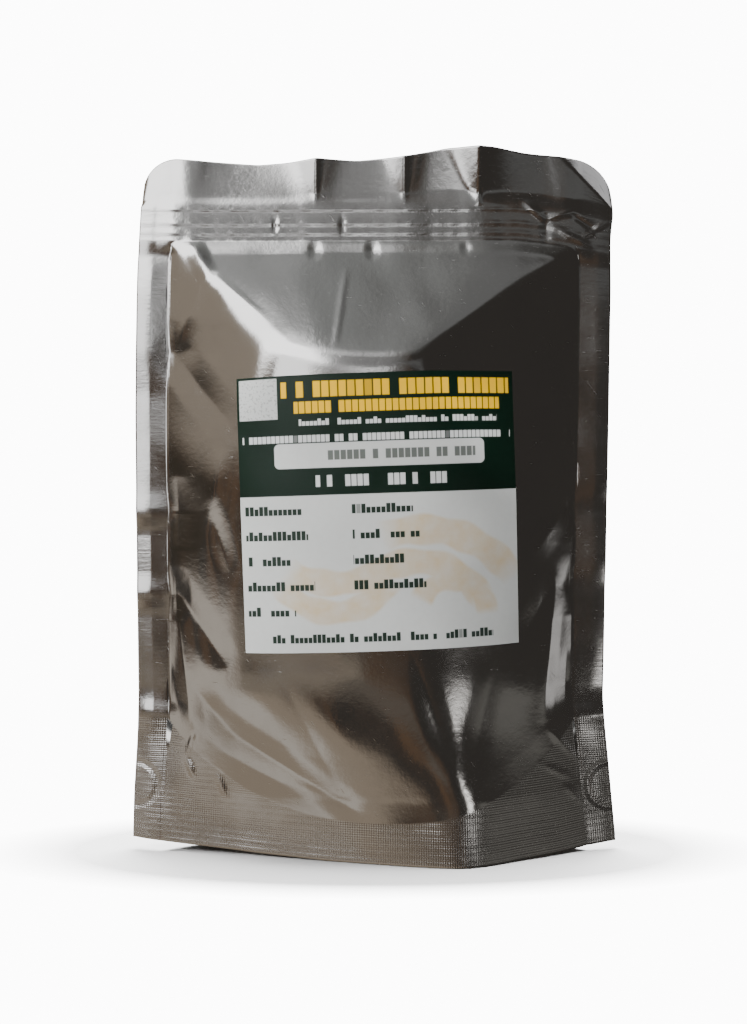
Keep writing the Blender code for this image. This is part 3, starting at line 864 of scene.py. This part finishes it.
# %% Rows of blocks
def blocks(tree, x, row, pitch, gap):
    place = x / pitch + row * 7.31
    cell = place.math("FLOOR")
    chance = add(tree, "ShaderNodeTexWhiteNoise", settings={"noise_dimensions": "1D"}, W=cell * 1.37 + row)
    between = (place - cell).ramp(0.05, 0.16) * (1.0 - (place - cell).ramp(0.9, 0.99))
    spaces = noise(tree, vector(tree, cell * pitch * gap, row * 3.7), 1.0, 1.0).ramp(0.4, 0.41)
    return between * spaces, chance


def block_row(tree, x, y, left, right, middle_y, tall, seed, pitch, even=True):
    row = x * 0.0 + float(seed)
    marks, chance = blocks(tree, x, row, pitch, 0.3)
    top = tall / 2 if even else chance.ramp(0.62, 0.66) * (tall * 0.35) + tall * 0.15
    upper = 1.0 - (y - middle_y - top).ramp(-0.1, 0.1)
    lower = (y - middle_y + tall / 2).ramp(-0.1, 0.1)
    ends = (x - left).ramp(-0.1, 0.1) * (1.0 - (x - right).ramp(-0.1, 0.1))
    return marks * upper * lower * ends


def block_column(tree, x, y, left, right, top, step, count, tall):
    row = ((y * -1.0 + top) / step).math("FLOOR")
    local = (row + 0.5) * step + y - top
    marks, chance = blocks(tree, x, row, 1.55, 0.22)
    upper = 1.0 - (local - chance.ramp(0.62, 0.66) * (tall * 0.35) - tall * 0.15).ramp(-0.1, 0.1)
    lower = (local + tall / 2).ramp(-0.1, 0.1)
    used = (row + 0.5).ramp(0.0, 0.1) * (1.0 - (row + 0.5 - count).ramp(-0.1, 0.0))
    length = (row * 2.6).math("SINE") * 3.5 + right
    ends = (x - left).ramp(-0.1, 0.1) * (1.0 - (x - length).ramp(-0.1, 0.1))
    return marks * upper * lower * used * ends


def most(fields):
    total = fields[0]
    for field in fields[1:]:
        total = total.math("MAXIMUM", field)
    return total


print("rows of blocks ready")

# %% [markdown]
# Under the small rows lies a pale drawing of beaded pods. They could be drawn as curves, but five arcs need
# only six numbers each: a ring round its own middle, cut off at two angles and thickened by a sine along its
# length. Panels are boxes with rounded corners.

# %% Arcs and panels
# Each pod: middle across, middle up, radius, half width, first angle, last angle
PODS = (
    (10.0, -42.0, 26.0, 4.2, 0.55, 2.3),
    (22.0, -34.0, 12.0, 3.4, 0.1, 2.6),
    (-14.0, 8.0, 30.0, 4.0, -2.1, -0.95),
    (12.0, -44.0, 38.0, 4.6, 0.65, 1.85),
    (-15.0, -10.0, 21.0, 3.8, -2.5, -0.6),
)


def pod(x, y, middle_x, middle_y, radius, half, start, stop):
    dx, dy = x - middle_x, y - middle_y
    turn = dy.math("ARCTAN2", dx)
    beads = (turn * (radius / 2.2)).math("SINE") * 0.45
    away = ((dx * dx + dy * dy).math("SQRT") - radius).math("ABSOLUTE") - half - beads
    ends = turn.ramp(start - 0.06, start + 0.12) * (1.0 - turn.ramp(stop - 0.12, stop + 0.06))
    return (1.0 - away.ramp(-0.6, 0.4)) * ends


def rounded(x, y, middle_x, middle_y, half_x, half_y, radius, soft=0.12):
    dx = ((x - middle_x).math("ABSOLUTE") - (half_x - radius)).math("MAXIMUM", 0.0)
    dy = ((y - middle_y).math("ABSOLUTE") - (half_y - radius)).math("MAXIMUM", 0.0)
    away = (dx * dx + dy * dy).math("SQRT") - radius
    return 1.0 - away.ramp(-soft, soft)


print("pods:", len(PODS))

# %% [markdown]
# The label's lower half is white with dark rows over the drawing. Its upper half is dark green, with yellow
# headings, pale lines, a white pill and a white square. Each colour is mixed over the ones before it, like
# inks on a press, lower half first.

# %% Two halves of the label
LABEL_WIDTH = 89.5
LABEL_HEIGHT = 86.8
PRINT_SCALE = 100.0
HALF_X = LABEL_WIDTH / 2
HALF_Y = LABEL_HEIGHT / 2
GREEN_EDGE = HALF_Y - 0.435 * LABEL_HEIGHT
INK = (0.008, 0.018, 0.012)
GREENS = ((0.0014, 0.0085, 0.0045), (0.002, 0.011, 0.006))
YELLOW = (0.8, 0.46, 0.0)
PALE = (0.58, 0.59, 0.58)


def lower_half(tree, x, y, white):
    cloud = noise(tree, vector(tree, x, y), 0.22, 3.0).ramp(0.25, 0.75) * 0.6 + 0.4
    drawing = most([pod(x, y, *place) for place in PODS]) * cloud
    shade = mixed(tree, drawing * 0.9, white, (0.5, 0.39, 0.24))
    left_column = block_column(tree, x, y, -HALF_X + 1.5, -HALF_X + 20.0, GREEN_EDGE - 0.6, 7.9, 5.0, 2.9)
    right_column = block_column(tree, x, y, -9.0, 10.0, GREEN_EDGE - 0.6, 7.9, 4.0, 2.9)
    last_line = block_row(tree, x, y, -HALF_X + 9.0, HALF_X - 9.0, -HALF_Y + 4.4, 2.7, 31, 1.45, False)
    return mixed(tree, most([left_column, right_column, last_line]), shade, INK)


def upper_half(tree, x, y, white, mottle, shade):
    green = (y - GREEN_EDGE).ramp(-0.12, 0.12)
    shade = mixed(tree, green, shade, mixed(tree, mottle, *GREENS))
    square = rounded(x, y, -HALF_X + 7.0, HALF_Y - 7.2, 6.2, 6.4, 0.1)
    pill = rounded(x, y, 0.5, GREEN_EDGE + 12.4, 33.5, 3.9, 1.6)
    shade = mixed(tree, square.math("MAXIMUM", pill), shade, white)
    heading = block_row(tree, x, y, -HALF_X + 14.5, HALF_X - 1.5, HALF_Y - 4.6, 5.0, 21, 2.7)
    second = block_row(tree, x, y, -HALF_X + 18.5, HALF_X - 5.0, HALF_Y - 10.2, 3.7, 22, 2.1)
    shade = mixed(tree, most([heading, second]), shade, YELLOW)
    small = block_row(tree, x, y, -HALF_X + 20.0, HALF_X - 6.0, HALF_Y - 14.9, 2.0, 23, 1.25, False)
    wide = block_row(tree, x, y, -HALF_X + 1.5, HALF_X - 1.5, HALF_Y - 20.0, 2.2, 24, 1.45)
    lowest = block_row(tree, x, y, -20.0, 22.0, GREEN_EDGE + 4.4, 3.6, 25, 1.9)
    shade = mixed(tree, most([small, wide, lowest]), shade, PALE)
    in_pill = block_row(tree, x, y, -16.0, 31.0, GREEN_EDGE + 12.4, 3.0, 26, 2.0)
    scribble = noise(tree, vector(tree, x * 1.3, y * 1.3, 4.0), 1.0, 3.0).ramp(0.55, 0.6) * square * 0.4
    return mixed(tree, (in_pill * 0.85).math("MAXIMUM", scribble), shade, (0.04, 0.05, 0.04))


print("green from", round(GREEN_EDGE, 1), "mm up to", HALF_Y, "mm")


# %% [markdown]
# The paper itself is uncoated: slightly mottled and matt, with a grain that only shows in slanting light.
# Real grain is far finer than the mesh, so a faint bump carries it.

# %% Label material
def paper():
    material, tree, shader = new_material("label_paper")
    x, y = pattern_place(tree, PRINT_SCALE)
    y = y - PRINT_SCALE / 2
    place = vector(tree, x, y)
    mottle = noise(tree, place, 0.5, 3.0)
    white = mixed(tree, mottle, (0.5, 0.51, 0.495), (0.55, 0.56, 0.545))
    shade = upper_half(tree, x, y, white, mottle, lower_half(tree, x, y, white))
    finish_with(tree, shader, shade, mottle * 0.12 + 0.34, noise(tree, place, 2.2, 3.0) * 0.02)
    print("label_paper", len(tree.nodes), "nodes")
    return material


label_paper = paper()


# %% [markdown]
# ## Laying a flat sheet on a wall
# A sticker is cut flat and then follows whatever it is pressed on. It could be shrink-wrapped or sculpted,
# but the wall already carries its flat pattern as a UV map. So a Geometry Nodes tree draws a flat grid, and
# each of its points looks up where that place of the pattern is on the wall. The same tree would lay any
# sticker on any such wall.

# %% Geometry helpers
def vector_math(tree, operation, *values):
    node = tree.nodes.new("ShaderNodeVectorMath")
    node.operation = operation
    for slot, value in zip(node.inputs, values):
        plug(tree, slot, value)
    return Field(tree, node.outputs[0])


def named_inputs(tree, kinds):
    for name, kind in kinds.items():
        tree.interface.new_socket(name=name, in_out="INPUT", socket_type="NodeSocket" + kind)
    tree.interface.new_socket(name="Geometry", in_out="OUTPUT", socket_type="NodeSocketGeometry")
    sockets = tree.nodes.new("NodeGroupInput").outputs
    return {name: Field(tree, sockets[name]) for name in kinds}


print("geometry helpers ready")


# %% [markdown]
# The wall has a fine side and a hidden one with the same places on its map, so the lookup samples the outer
# faces alone. The sheet's own place is first turned and moved on the pattern. The wall then gives a point and
# a normal, and the sheet is lifted along that normal.

# %% Lookup on the wall
def lifted_place(tree, given, flat):
    wall_mesh = add(tree, "GeometryNodeObjectInfo", 4, Object=given["Wall"])
    shown_faces = add(tree, "GeometryNodeInputIndex").math("LESS_THAN", given["Outer faces"])
    by_face = {"domain": "FACE"}
    skin = add(tree, "GeometryNodeSeparateGeometry", 0, by_face, Geometry=wall_mesh, Selection=shown_faces)
    turned = add(tree, "ShaderNodeVectorRotate", Vector=flat, Axis=(0.0, 0.0, 1.0), Angle=given["Turn"])
    on_pattern = vector_math(tree, "ADD", turned, given["Middle"])
    lookup = vector_math(tree, "MULTIPLY_ADD", on_pattern, (1 / FLAT_HEIGHT,) * 3, (0.5, 0.0, 0.0))
    as_vector = {"data_type": "FLOAT_VECTOR"}
    pattern = add(tree, "GeometryNodeInputNamedAttribute", 0, as_vector, Name="pattern")
    finder = {"Mesh": skin, "UV_Map": pattern, "Sample_UV": lookup}
    facing = add(tree, "GeometryNodeInputNormal")
    point = add(tree, "GeometryNodeSampleUVSurface", 0, as_vector, Value=flat, **finder)
    normal = add(tree, "GeometryNodeSampleUVSurface", 0, as_vector, Value=facing, **finder)
    return vector_math(tree, "MULTIPLY_ADD", normal, given["Lift"], point)


print("lookup ready")

# %% [markdown]
# Here is the whole tree. The grid is drawn in the pattern's millimetres and carries its own place as a map
# for the print. Once it lies on the wall it is thickened by an extrusion, and a turned copy of its underside
# closes it.

# %% Laid sheet tree
SHEET_INPUTS = {
    "Wall": "Object",
    "Outer faces": "Int",
    "Width": "Float",
    "Height": "Float",
    "Lines": "Int",
    "Middle": "Vector",
    "Turn": "Float",
    "Lift": "Float",
    "Thickness": "Float",
    "Paper": "Material",
}


def laid_sheet():
    tree = bpy.data.node_groups.new("laid_sheet", "GeometryNodeTree")
    given = named_inputs(tree, SHEET_INPUTS)
    flat = add(tree, "GeometryNodeInputPosition")
    sizes = {"Size_X": given["Width"], "Size_Y": given["Height"]}
    grid = add(tree, "GeometryNodeMeshGrid", Vertices_X=given["Lines"], Vertices_Y=given["Lines"], **sizes)
    print_place = vector_math(tree, "MULTIPLY_ADD", flat, (1 / PRINT_SCALE,) * 3, (0.5, 0.5, 0.0))
    corner = {"data_type": "FLOAT2", "domain": "CORNER"}
    store = "GeometryNodeStoreNamedAttribute"
    marked = add(tree, store, 0, corner, Geometry=grid, Name="pattern", Value=print_place)
    under = add(tree, "GeometryNodeSetPosition", Geometry=marked, Position=lifted_place(tree, given, flat))
    top = add(tree, "GeometryNodeExtrudeMesh", Mesh=under, Offset_Scale=given["Thickness"], Individual=False)
    both = add(tree, "GeometryNodeJoinGeometry", Geometry=top)
    tree.links.new(add(tree, "GeometryNodeFlipFaces", Mesh=under).socket, both.socket.node.inputs[0])
    closed = add(tree, "GeometryNodeMergeByDistance", Geometry=both, Distance=0.001 * MM)
    smooth_sheet = add(tree, "GeometryNodeSetShadeSmooth", Geometry=closed)
    real = add(tree, "GeometryNodeRealizeInstances", Geometry=smooth_sheet)
    dressed = add(tree, "GeometryNodeSetMaterial", Geometry=real, Material=given["Paper"])
    tree.links.new(dressed.socket, tree.nodes.new("NodeGroupOutput").inputs[0])
    return tree


sheet_tree = laid_sheet()
print("laid sheet tree:", len(sheet_tree.nodes), "nodes")

# %% [markdown]
# ## The label
# The label is one such sheet, a fifth of a millimetre thick, stuck on a little askew. The result is copied
# out as a plain mesh, and the helper with its modifier goes away. Its cut edges are then marked as sharp.

# %% Label
LABEL_VALUES = {
    "Wall": walls["foil_front"],
    "Outer faces": (len(rows) - 1) * (len(columns) - 1),
    "Width": LABEL_WIDTH,
    "Height": LABEL_HEIGHT,
    "Lines": 121,
    "Middle": (2.0, 111.7, 0.0),
    "Turn": math.radians(1.9),
    "Lift": 0.2 * MM,
    "Thickness": 0.2 * MM,
    "Paper": label_paper,
}
helper = bpy.data.objects.new("label_helper", bpy.data.meshes.new("label_helper"))
bpy.context.scene.collection.objects.link(helper)
modifier = helper.modifiers.new("laid sheet", "NODES")
modifier.node_group = sheet_tree
for item in sheet_tree.interface.items_tree:
    if item.in_out == "INPUT":
        modifier[item.identifier] = LABEL_VALUES[item.name]
evaluated = helper.evaluated_get(bpy.context.evaluated_depsgraph_get())
label = bpy.data.objects.new("paper_label", bpy.data.meshes.new_from_object(evaluated))
bpy.context.scene.collection.objects.link(label)
bpy.data.objects.remove(helper)
label.data.set_sharp_from_angle(angle=math.radians(40.0))
print("paper_label", len(label.data.polygons), "faces, maps:", [layer.name for layer in label.data.uv_layers])


# %% [markdown]
# ## Zip tracks
# The two tracks of a press zip are milky polyethylene. Light could be let through it, but the foil hides it
# anyway, so the solids keep their place and get a plain finish: a slow cloud in colour and gloss.

# %% Zip plastic
def milky():
    material, tree, shader = new_material("zip_plastic")
    cloud = noise(tree, add(tree, "ShaderNodeTexCoord", 3), 300.0, 3.0)
    shade = mixed(tree, cloud, (0.8, 0.82, 0.84), (0.88, 0.89, 0.9))
    finish_with(tree, shader, shade, cloud * 0.15 + 0.28)
    return material


zip_plastic = milky()
print("zip_plastic", len(zip_plastic.node_tree.nodes), "nodes")


# %% [markdown]
# ## Contents
# The contents are dark, sticky fruit in one pressed block. They too are hidden, so the solid keeps its shape.
# Lumps set its colour, and finer strands its gloss.

# %% Fruit
def fruit():
    material, tree, shader = new_material("tamarind_pulp")
    place = add(tree, "ShaderNodeTexCoord", 3)
    lumps = noise(tree, place, 90.0, 6.0, 0.6)
    strands = noise(tree, place, 420.0, 3.0, 0.7)
    shade = mixed(tree, lumps, (0.05, 0.02, 0.008), (0.24, 0.1, 0.035))
    finish_with(tree, shader, shade, strands * 0.4 + 0.25, lumps * 3.0 + strands * 0.6)
    return material


tamarind_pulp = fruit()
print("tamarind_pulp", len(tamarind_pulp.node_tree.nodes), "nodes")


# %% [markdown]
# ## Dressing the pieces
# The walls and the bottom film take foil, and the hidden solids take their own finishes. A solid's slot is
# given a new material and not a new mesh. The label already has its paper, from the tree.

# %% Materials on pieces
def dress(piece, material):
    piece.data.materials.clear()
    piece.data.materials.append(material)


dress(walls["foil_front"], foil_skin)
dress(walls["foil_back"], foil_skin)
dress(gusset, foil_under)
for name in ("zip_rib_track", "zip_groove_track"):
    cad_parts[name].material_slots[0].material = zip_plastic
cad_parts["tamarind_fill"].material_slots[0].material = tamarind_pulp
print("materials:", sorted(material.name for material in bpy.data.materials if material.users))

# %% [markdown]
# ## Riding on the frame
# The pouch is one body, because a press zip flexes and nothing turns. So each sheet rides on the root and takes
# the place of its solid, which is hidden. That is all that ties the looks to the packed part.

# %% Pieces ride with the frame
SKINS = (
    (walls["foil_front"], "front_film"),
    (walls["foil_back"], "back_film"),
    (gusset, "gusset_film"),
    (label, "label"),
)
for piece, node in SKINS:
    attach(piece, "root")
    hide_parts(node)
print("pieces:", len(SKINS))

# %% [markdown]
# ## Studio floor
# A product picture stands on paper that runs up behind it without a line. A bent sheet would need its own
# even light. Here the floor is a flat pale disc that takes the shadow, and away from the pouch it turns into
# plain glow, as bright as the backdrop.

# %% Floor
BACKGROUND = (12.0, 12.0, 12.0)
FLOOR_RADIUS = 6.0
SHADOW_FADE = (0.041, 0.056)
SHADOW_WIDER = 2.4


def emission(tree, colour):
    node = tree.nodes.new("ShaderNodeEmission")
    plug(tree, node.inputs["Color"], colour if isinstance(colour, Field) else (*colour, 1.0))
    node.inputs["Strength"].default_value = 1.0
    return Field(tree, node.outputs[0])


bpy.ops.mesh.primitive_circle_add(vertices=96, radius=FLOOR_RADIUS, fill_type="NGON", location=(0, 0, -0.0002))
floor = bpy.context.object
floor.name = "floor"
floor_material, floor_tree, matt = new_material("floor")
floor_x, floor_y, _ = split(floor_tree, add(floor_tree, "ShaderNodeTexCoord", 3))
floor_x = floor_x / SHADOW_WIDER
away = (floor_x * floor_x + floor_y * floor_y).math("SQRT")
matt.inputs["Base Color"].default_value = (0.4, 0.4, 0.4, 1.0)
matt.inputs["Roughness"].default_value = 0.9
matt.inputs["Specular IOR Level"].default_value = 0.0
blend = floor_tree.nodes.new("ShaderNodeMixShader")
floor_tree.links.new(away.ramp(*SHADOW_FADE).socket, blend.inputs[0])
floor_tree.links.new(matt.outputs[0], blend.inputs[1])
floor_tree.links.new(emission(floor_tree, BACKGROUND).socket, blend.inputs[2])
floor_tree.links.new(blend.outputs[0], floor_tree.nodes["Material Output"].inputs["Surface"])
floor.data.materials.append(floor_material)
floor.visible_glossy = False
floor.visible_diffuse = False
print("floor radius:", FLOOR_RADIUS, "m")

# %% [markdown]
# ## What the foil mirrors
# Foil looks like what stands round it. Single lamps would give hard sparks, where a picture of foil has broad
# soft patches. So one big dome, seen only by reflections, stands for the room. It is painted by compass
# direction and height in degrees: 0 is the camera's side, and degrees count up to the right. A patch is a
# soft-edged box there, which may slant or tilt.

# %% Dome and its patches
DOME_RADIUS = 3.0
bpy.ops.mesh.primitive_uv_sphere_add(segments=64, ring_count=32, radius=DOME_RADIUS, location=(0, 0, 0.11))
dome = bpy.context.object
dome.name = "reflection_dome"
dome_material, dome_tree, _ = new_material("reflection_dome")
dome_place = split(dome_tree, add(dome_tree, "ShaderNodeTexCoord", 3))
dome_x, dome_y, dome_z = (field / DOME_RADIUS for field in dome_place)
azimuth = dome_x.math("ARCTAN2", dome_y * -1.0) * (180.0 / math.pi)
elevation = dome_z.math("ARCSINE") * (180.0 / math.pi)


def patch(left, right, low, high, soft_side, soft_end, slant=0.0, tilt=0.0):
    across = elevation * slant + azimuth
    upward = azimuth * tilt + elevation
    past_right = across.ramp(right - soft_side, right + soft_side)
    past_top = upward.ramp(high - soft_end, high + soft_end)
    sides = across.ramp(left - soft_side, left + soft_side) * (1.0 - past_right)
    ends = upward.ramp(low - soft_end, low + soft_end) * (1.0 - past_top)
    return sides * ends


print("dome radius:", DOME_RADIUS, "m")

# %% [markdown]
# The room is dark and a little warm, with streaks on the left. Over it come a bright ceiling and window high
# on the left, warm walls low on the left, small lamps for the crisp highlights, and greys behind for the back
# of the pouch. Each row was set by what its mirror image does in a render.

# %% Painted patches
# Each row: left, right, low, high, soft sides, soft ends, slant and tilt where needed, then the colour
DOME_PATCHES = (
    ((-190, 16, 52, 95, 14, 10), (0.2, 0.205, 0.2)),
    ((-190, -18, 56, 95, 14, 8), (0.33, 0.335, 0.33)),
    ((-400, -43, -95, -13, 4, 4, 0.93), (0.255, 0.21, 0.16)),
    ((-60, -3, -15, -4, 3, 3), (0.19, 0.16, 0.125)),
    ((-150, -46, 7, 56, 5, 3), (0.265, 0.225, 0.18)),
    ((-150, -79, -2, 6, 3, 2.5), (0.04, 0.033, 0.025)),
    ((-92, -60, -18, -3, 3, 1.5), (0.42, 0.38, 0.33)),
    ((-70, -27, -68, -53, 4, 3, 0.0, 0.636), (0.42, 0.385, 0.34)),
    ((-30, 4, 10.5, 52, 6, 3), (0.23, 0.23, 0.228)),
    ((-30, -8, 12, 19, 4, 1.5), (0.36, 0.36, 0.355)),
    ((-34, 0, 46, 62, 3, 4), (0.6, 0.6, 0.6)),
    ((-58, -12.5, 15, 64, 2.5, 3), (2.6, 2.6, 2.6)),
    ((-9, 1, 9, 14.5, 1.5, 1), (0.5, 0.5, 0.5)),
    ((-40, -18.5, 2, 16, 1.5, 1.5), (1.6, 1.6, 1.6)),
    ((-5, 1.5, 11.5, 14.3, 1.5, 0.8), (1.2, 1.2, 1.2)),
    ((12, 60, 61, 95, 8, 4), (0.13, 0.13, 0.128)),
    ((29, 38, -18, -9.5, 2.5, 1.5), (1.6, 1.56, 1.5)),
    ((94, 110, -14, -3, 3, 2), (0.42, 0.41, 0.4)),
    ((48, 90, -32, -10.5, 6, 1.5), (0.115, 0.11, 0.1)),
    ((8, 30, 15.5, 24, 3, 1.5), (0.09, 0.09, 0.088)),
    ((-26, -13, 56, 72, 3, 3), (1.2, 1.2, 1.2)),
    ((-12, 8, -17.5, -12, 3, 1.5), (0.1, 0.085, 0.07)),
    ((78, 125, 36, 58, 4, 4), (0.55, 0.55, 0.56)),
    ((132, 240, -25, 50, 10, 12), (0.4, 0.4, 0.4)),
    ((-240, -132, -25, 50, 10, 12), (0.3, 0.29, 0.28)),
    ((150, 168, 0, 40, 4, 5), (1.5, 1.5, 1.5)),
    ((-170, -150, 8, 46, 4, 5), (1.1, 1.1, 1.1)),
)
streak_place = vector(dome_tree, azimuth * 0.16, elevation * 0.012)
streak = noise(dome_tree, streak_place, 1.0, 3.0, 0.55).ramp(0.42, 0.66) * azimuth.ramp(16.0, 2.0)
light = mixed(dome_tree, streak, (0.034, 0.031, 0.028), (0.115, 0.07, 0.042))
for box, colour in DOME_PATCHES:
    light = mixed(dome_tree, patch(*box), light, colour)
dome_tree.links.new(emission(dome_tree, light).socket, dome_tree.nodes["Material Output"].inputs["Surface"])
dome.data.materials.append(dome_material)
for ray in ("camera", "diffuse", "shadow", "transmission", "volume_scatter"):
    setattr(dome, "visible_" + ray, False)
print("dome patches:", len(DOME_PATCHES))


# %% [markdown]
# ## Lights
# The label and the floor need light of their own. Two ordinary soft lights give it, and the foil doesn't
# mirror them, so paper and foil can be set apart: a small key from the front left, and a large one above.

# %% Lights
def soft_light(name, place, size, power, aim=(0.0, 0.0, 0.12)):
    lamp = bpy.data.lights.new(name, "AREA")
    lamp.shape = "RECTANGLE"
    lamp.size, lamp.size_y = size
    lamp.energy = power
    holder = bpy.data.objects.new(name, lamp)
    bpy.context.scene.collection.objects.link(holder)
    holder.location = place
    direction = np.array(aim) - np.array(place)
    yaw = math.atan2(direction[0], -direction[1])
    pitch = math.atan2(-direction[2], math.hypot(direction[0], direction[1]))
    holder.rotation_euler = (math.pi / 2 - pitch, 0.0, math.pi + yaw)
    holder.visible_glossy = False
    return holder


soft_light("key", (-1.3, -0.9, 1.0), (0.7, 0.7), 60.0)
soft_light("top", (0.0, 0.35, 1.3), (1.2, 1.2), 260.0)
print("lights:", len(bpy.data.lights))

# %% [markdown]
# ## Backdrop
# A picture on white could be cut out afterwards. Here the camera sees a plain bright sphere behind
# everything, which lights nothing, and a grey world fills the shadows.

# %% Backdrop and world
world = bpy.data.worlds.new("studio")
bpy.context.scene.world = world
world.use_nodes = True
world.node_tree.nodes["Background"].inputs["Color"].default_value = (0.3, 0.3, 0.3, 1.0)
bpy.ops.mesh.primitive_uv_sphere_add(segments=32, ring_count=16, radius=5.5)
backdrop = bpy.context.object
backdrop.name = "backdrop"
backdrop_material, backdrop_tree, _ = new_material("backdrop")
glow = emission(backdrop_tree, BACKGROUND)
backdrop_tree.links.new(glow.socket, backdrop_tree.nodes["Material Output"].inputs["Surface"])
backdrop.data.materials.append(backdrop_material)
for ray in ("diffuse", "glossy", "shadow", "transmission", "volume_scatter"):
    setattr(backdrop, "visible_" + ray, False)
print("backdrop glow:", BACKGROUND[0])

# %% [markdown]
# ## Camera
# The bottom edge sags in the picture, and the top and bottom are almost equally wide, which puts the camera
# close and nearly level with the pouch's middle. Its distance comes from fitting the outline's points.

# %% Camera
CAMERA_DISTANCE = 0.45
CAMERA_RISE = math.radians(1.0)
CAMERA_AIM = (-0.0003, 0.0, 0.111)
PICTURE_HEIGHT = 1024
FOCAL_PIXELS = 1368.7
SENSOR = 36.0
camera_data = bpy.data.cameras.new("camera")
camera = bpy.data.objects.new("camera", camera_data)
bpy.context.scene.collection.objects.link(camera)
camera_data.sensor_width = SENSOR
camera_data.sensor_fit = "AUTO"
camera_data.lens = FOCAL_PIXELS / PICTURE_HEIGHT * SENSOR
camera_data.clip_start = 0.01
back = np.array((0.0, -math.cos(CAMERA_RISE), math.sin(CAMERA_RISE)))
camera.location = np.array(CAMERA_AIM) + back * CAMERA_DISTANCE
camera.rotation_euler = (math.pi / 2 - CAMERA_RISE, 0.0, 0.0)
bpy.context.scene.camera = camera
print("camera:", [round(v, 3) for v in camera.location], "lens", round(camera_data.lens, 1))
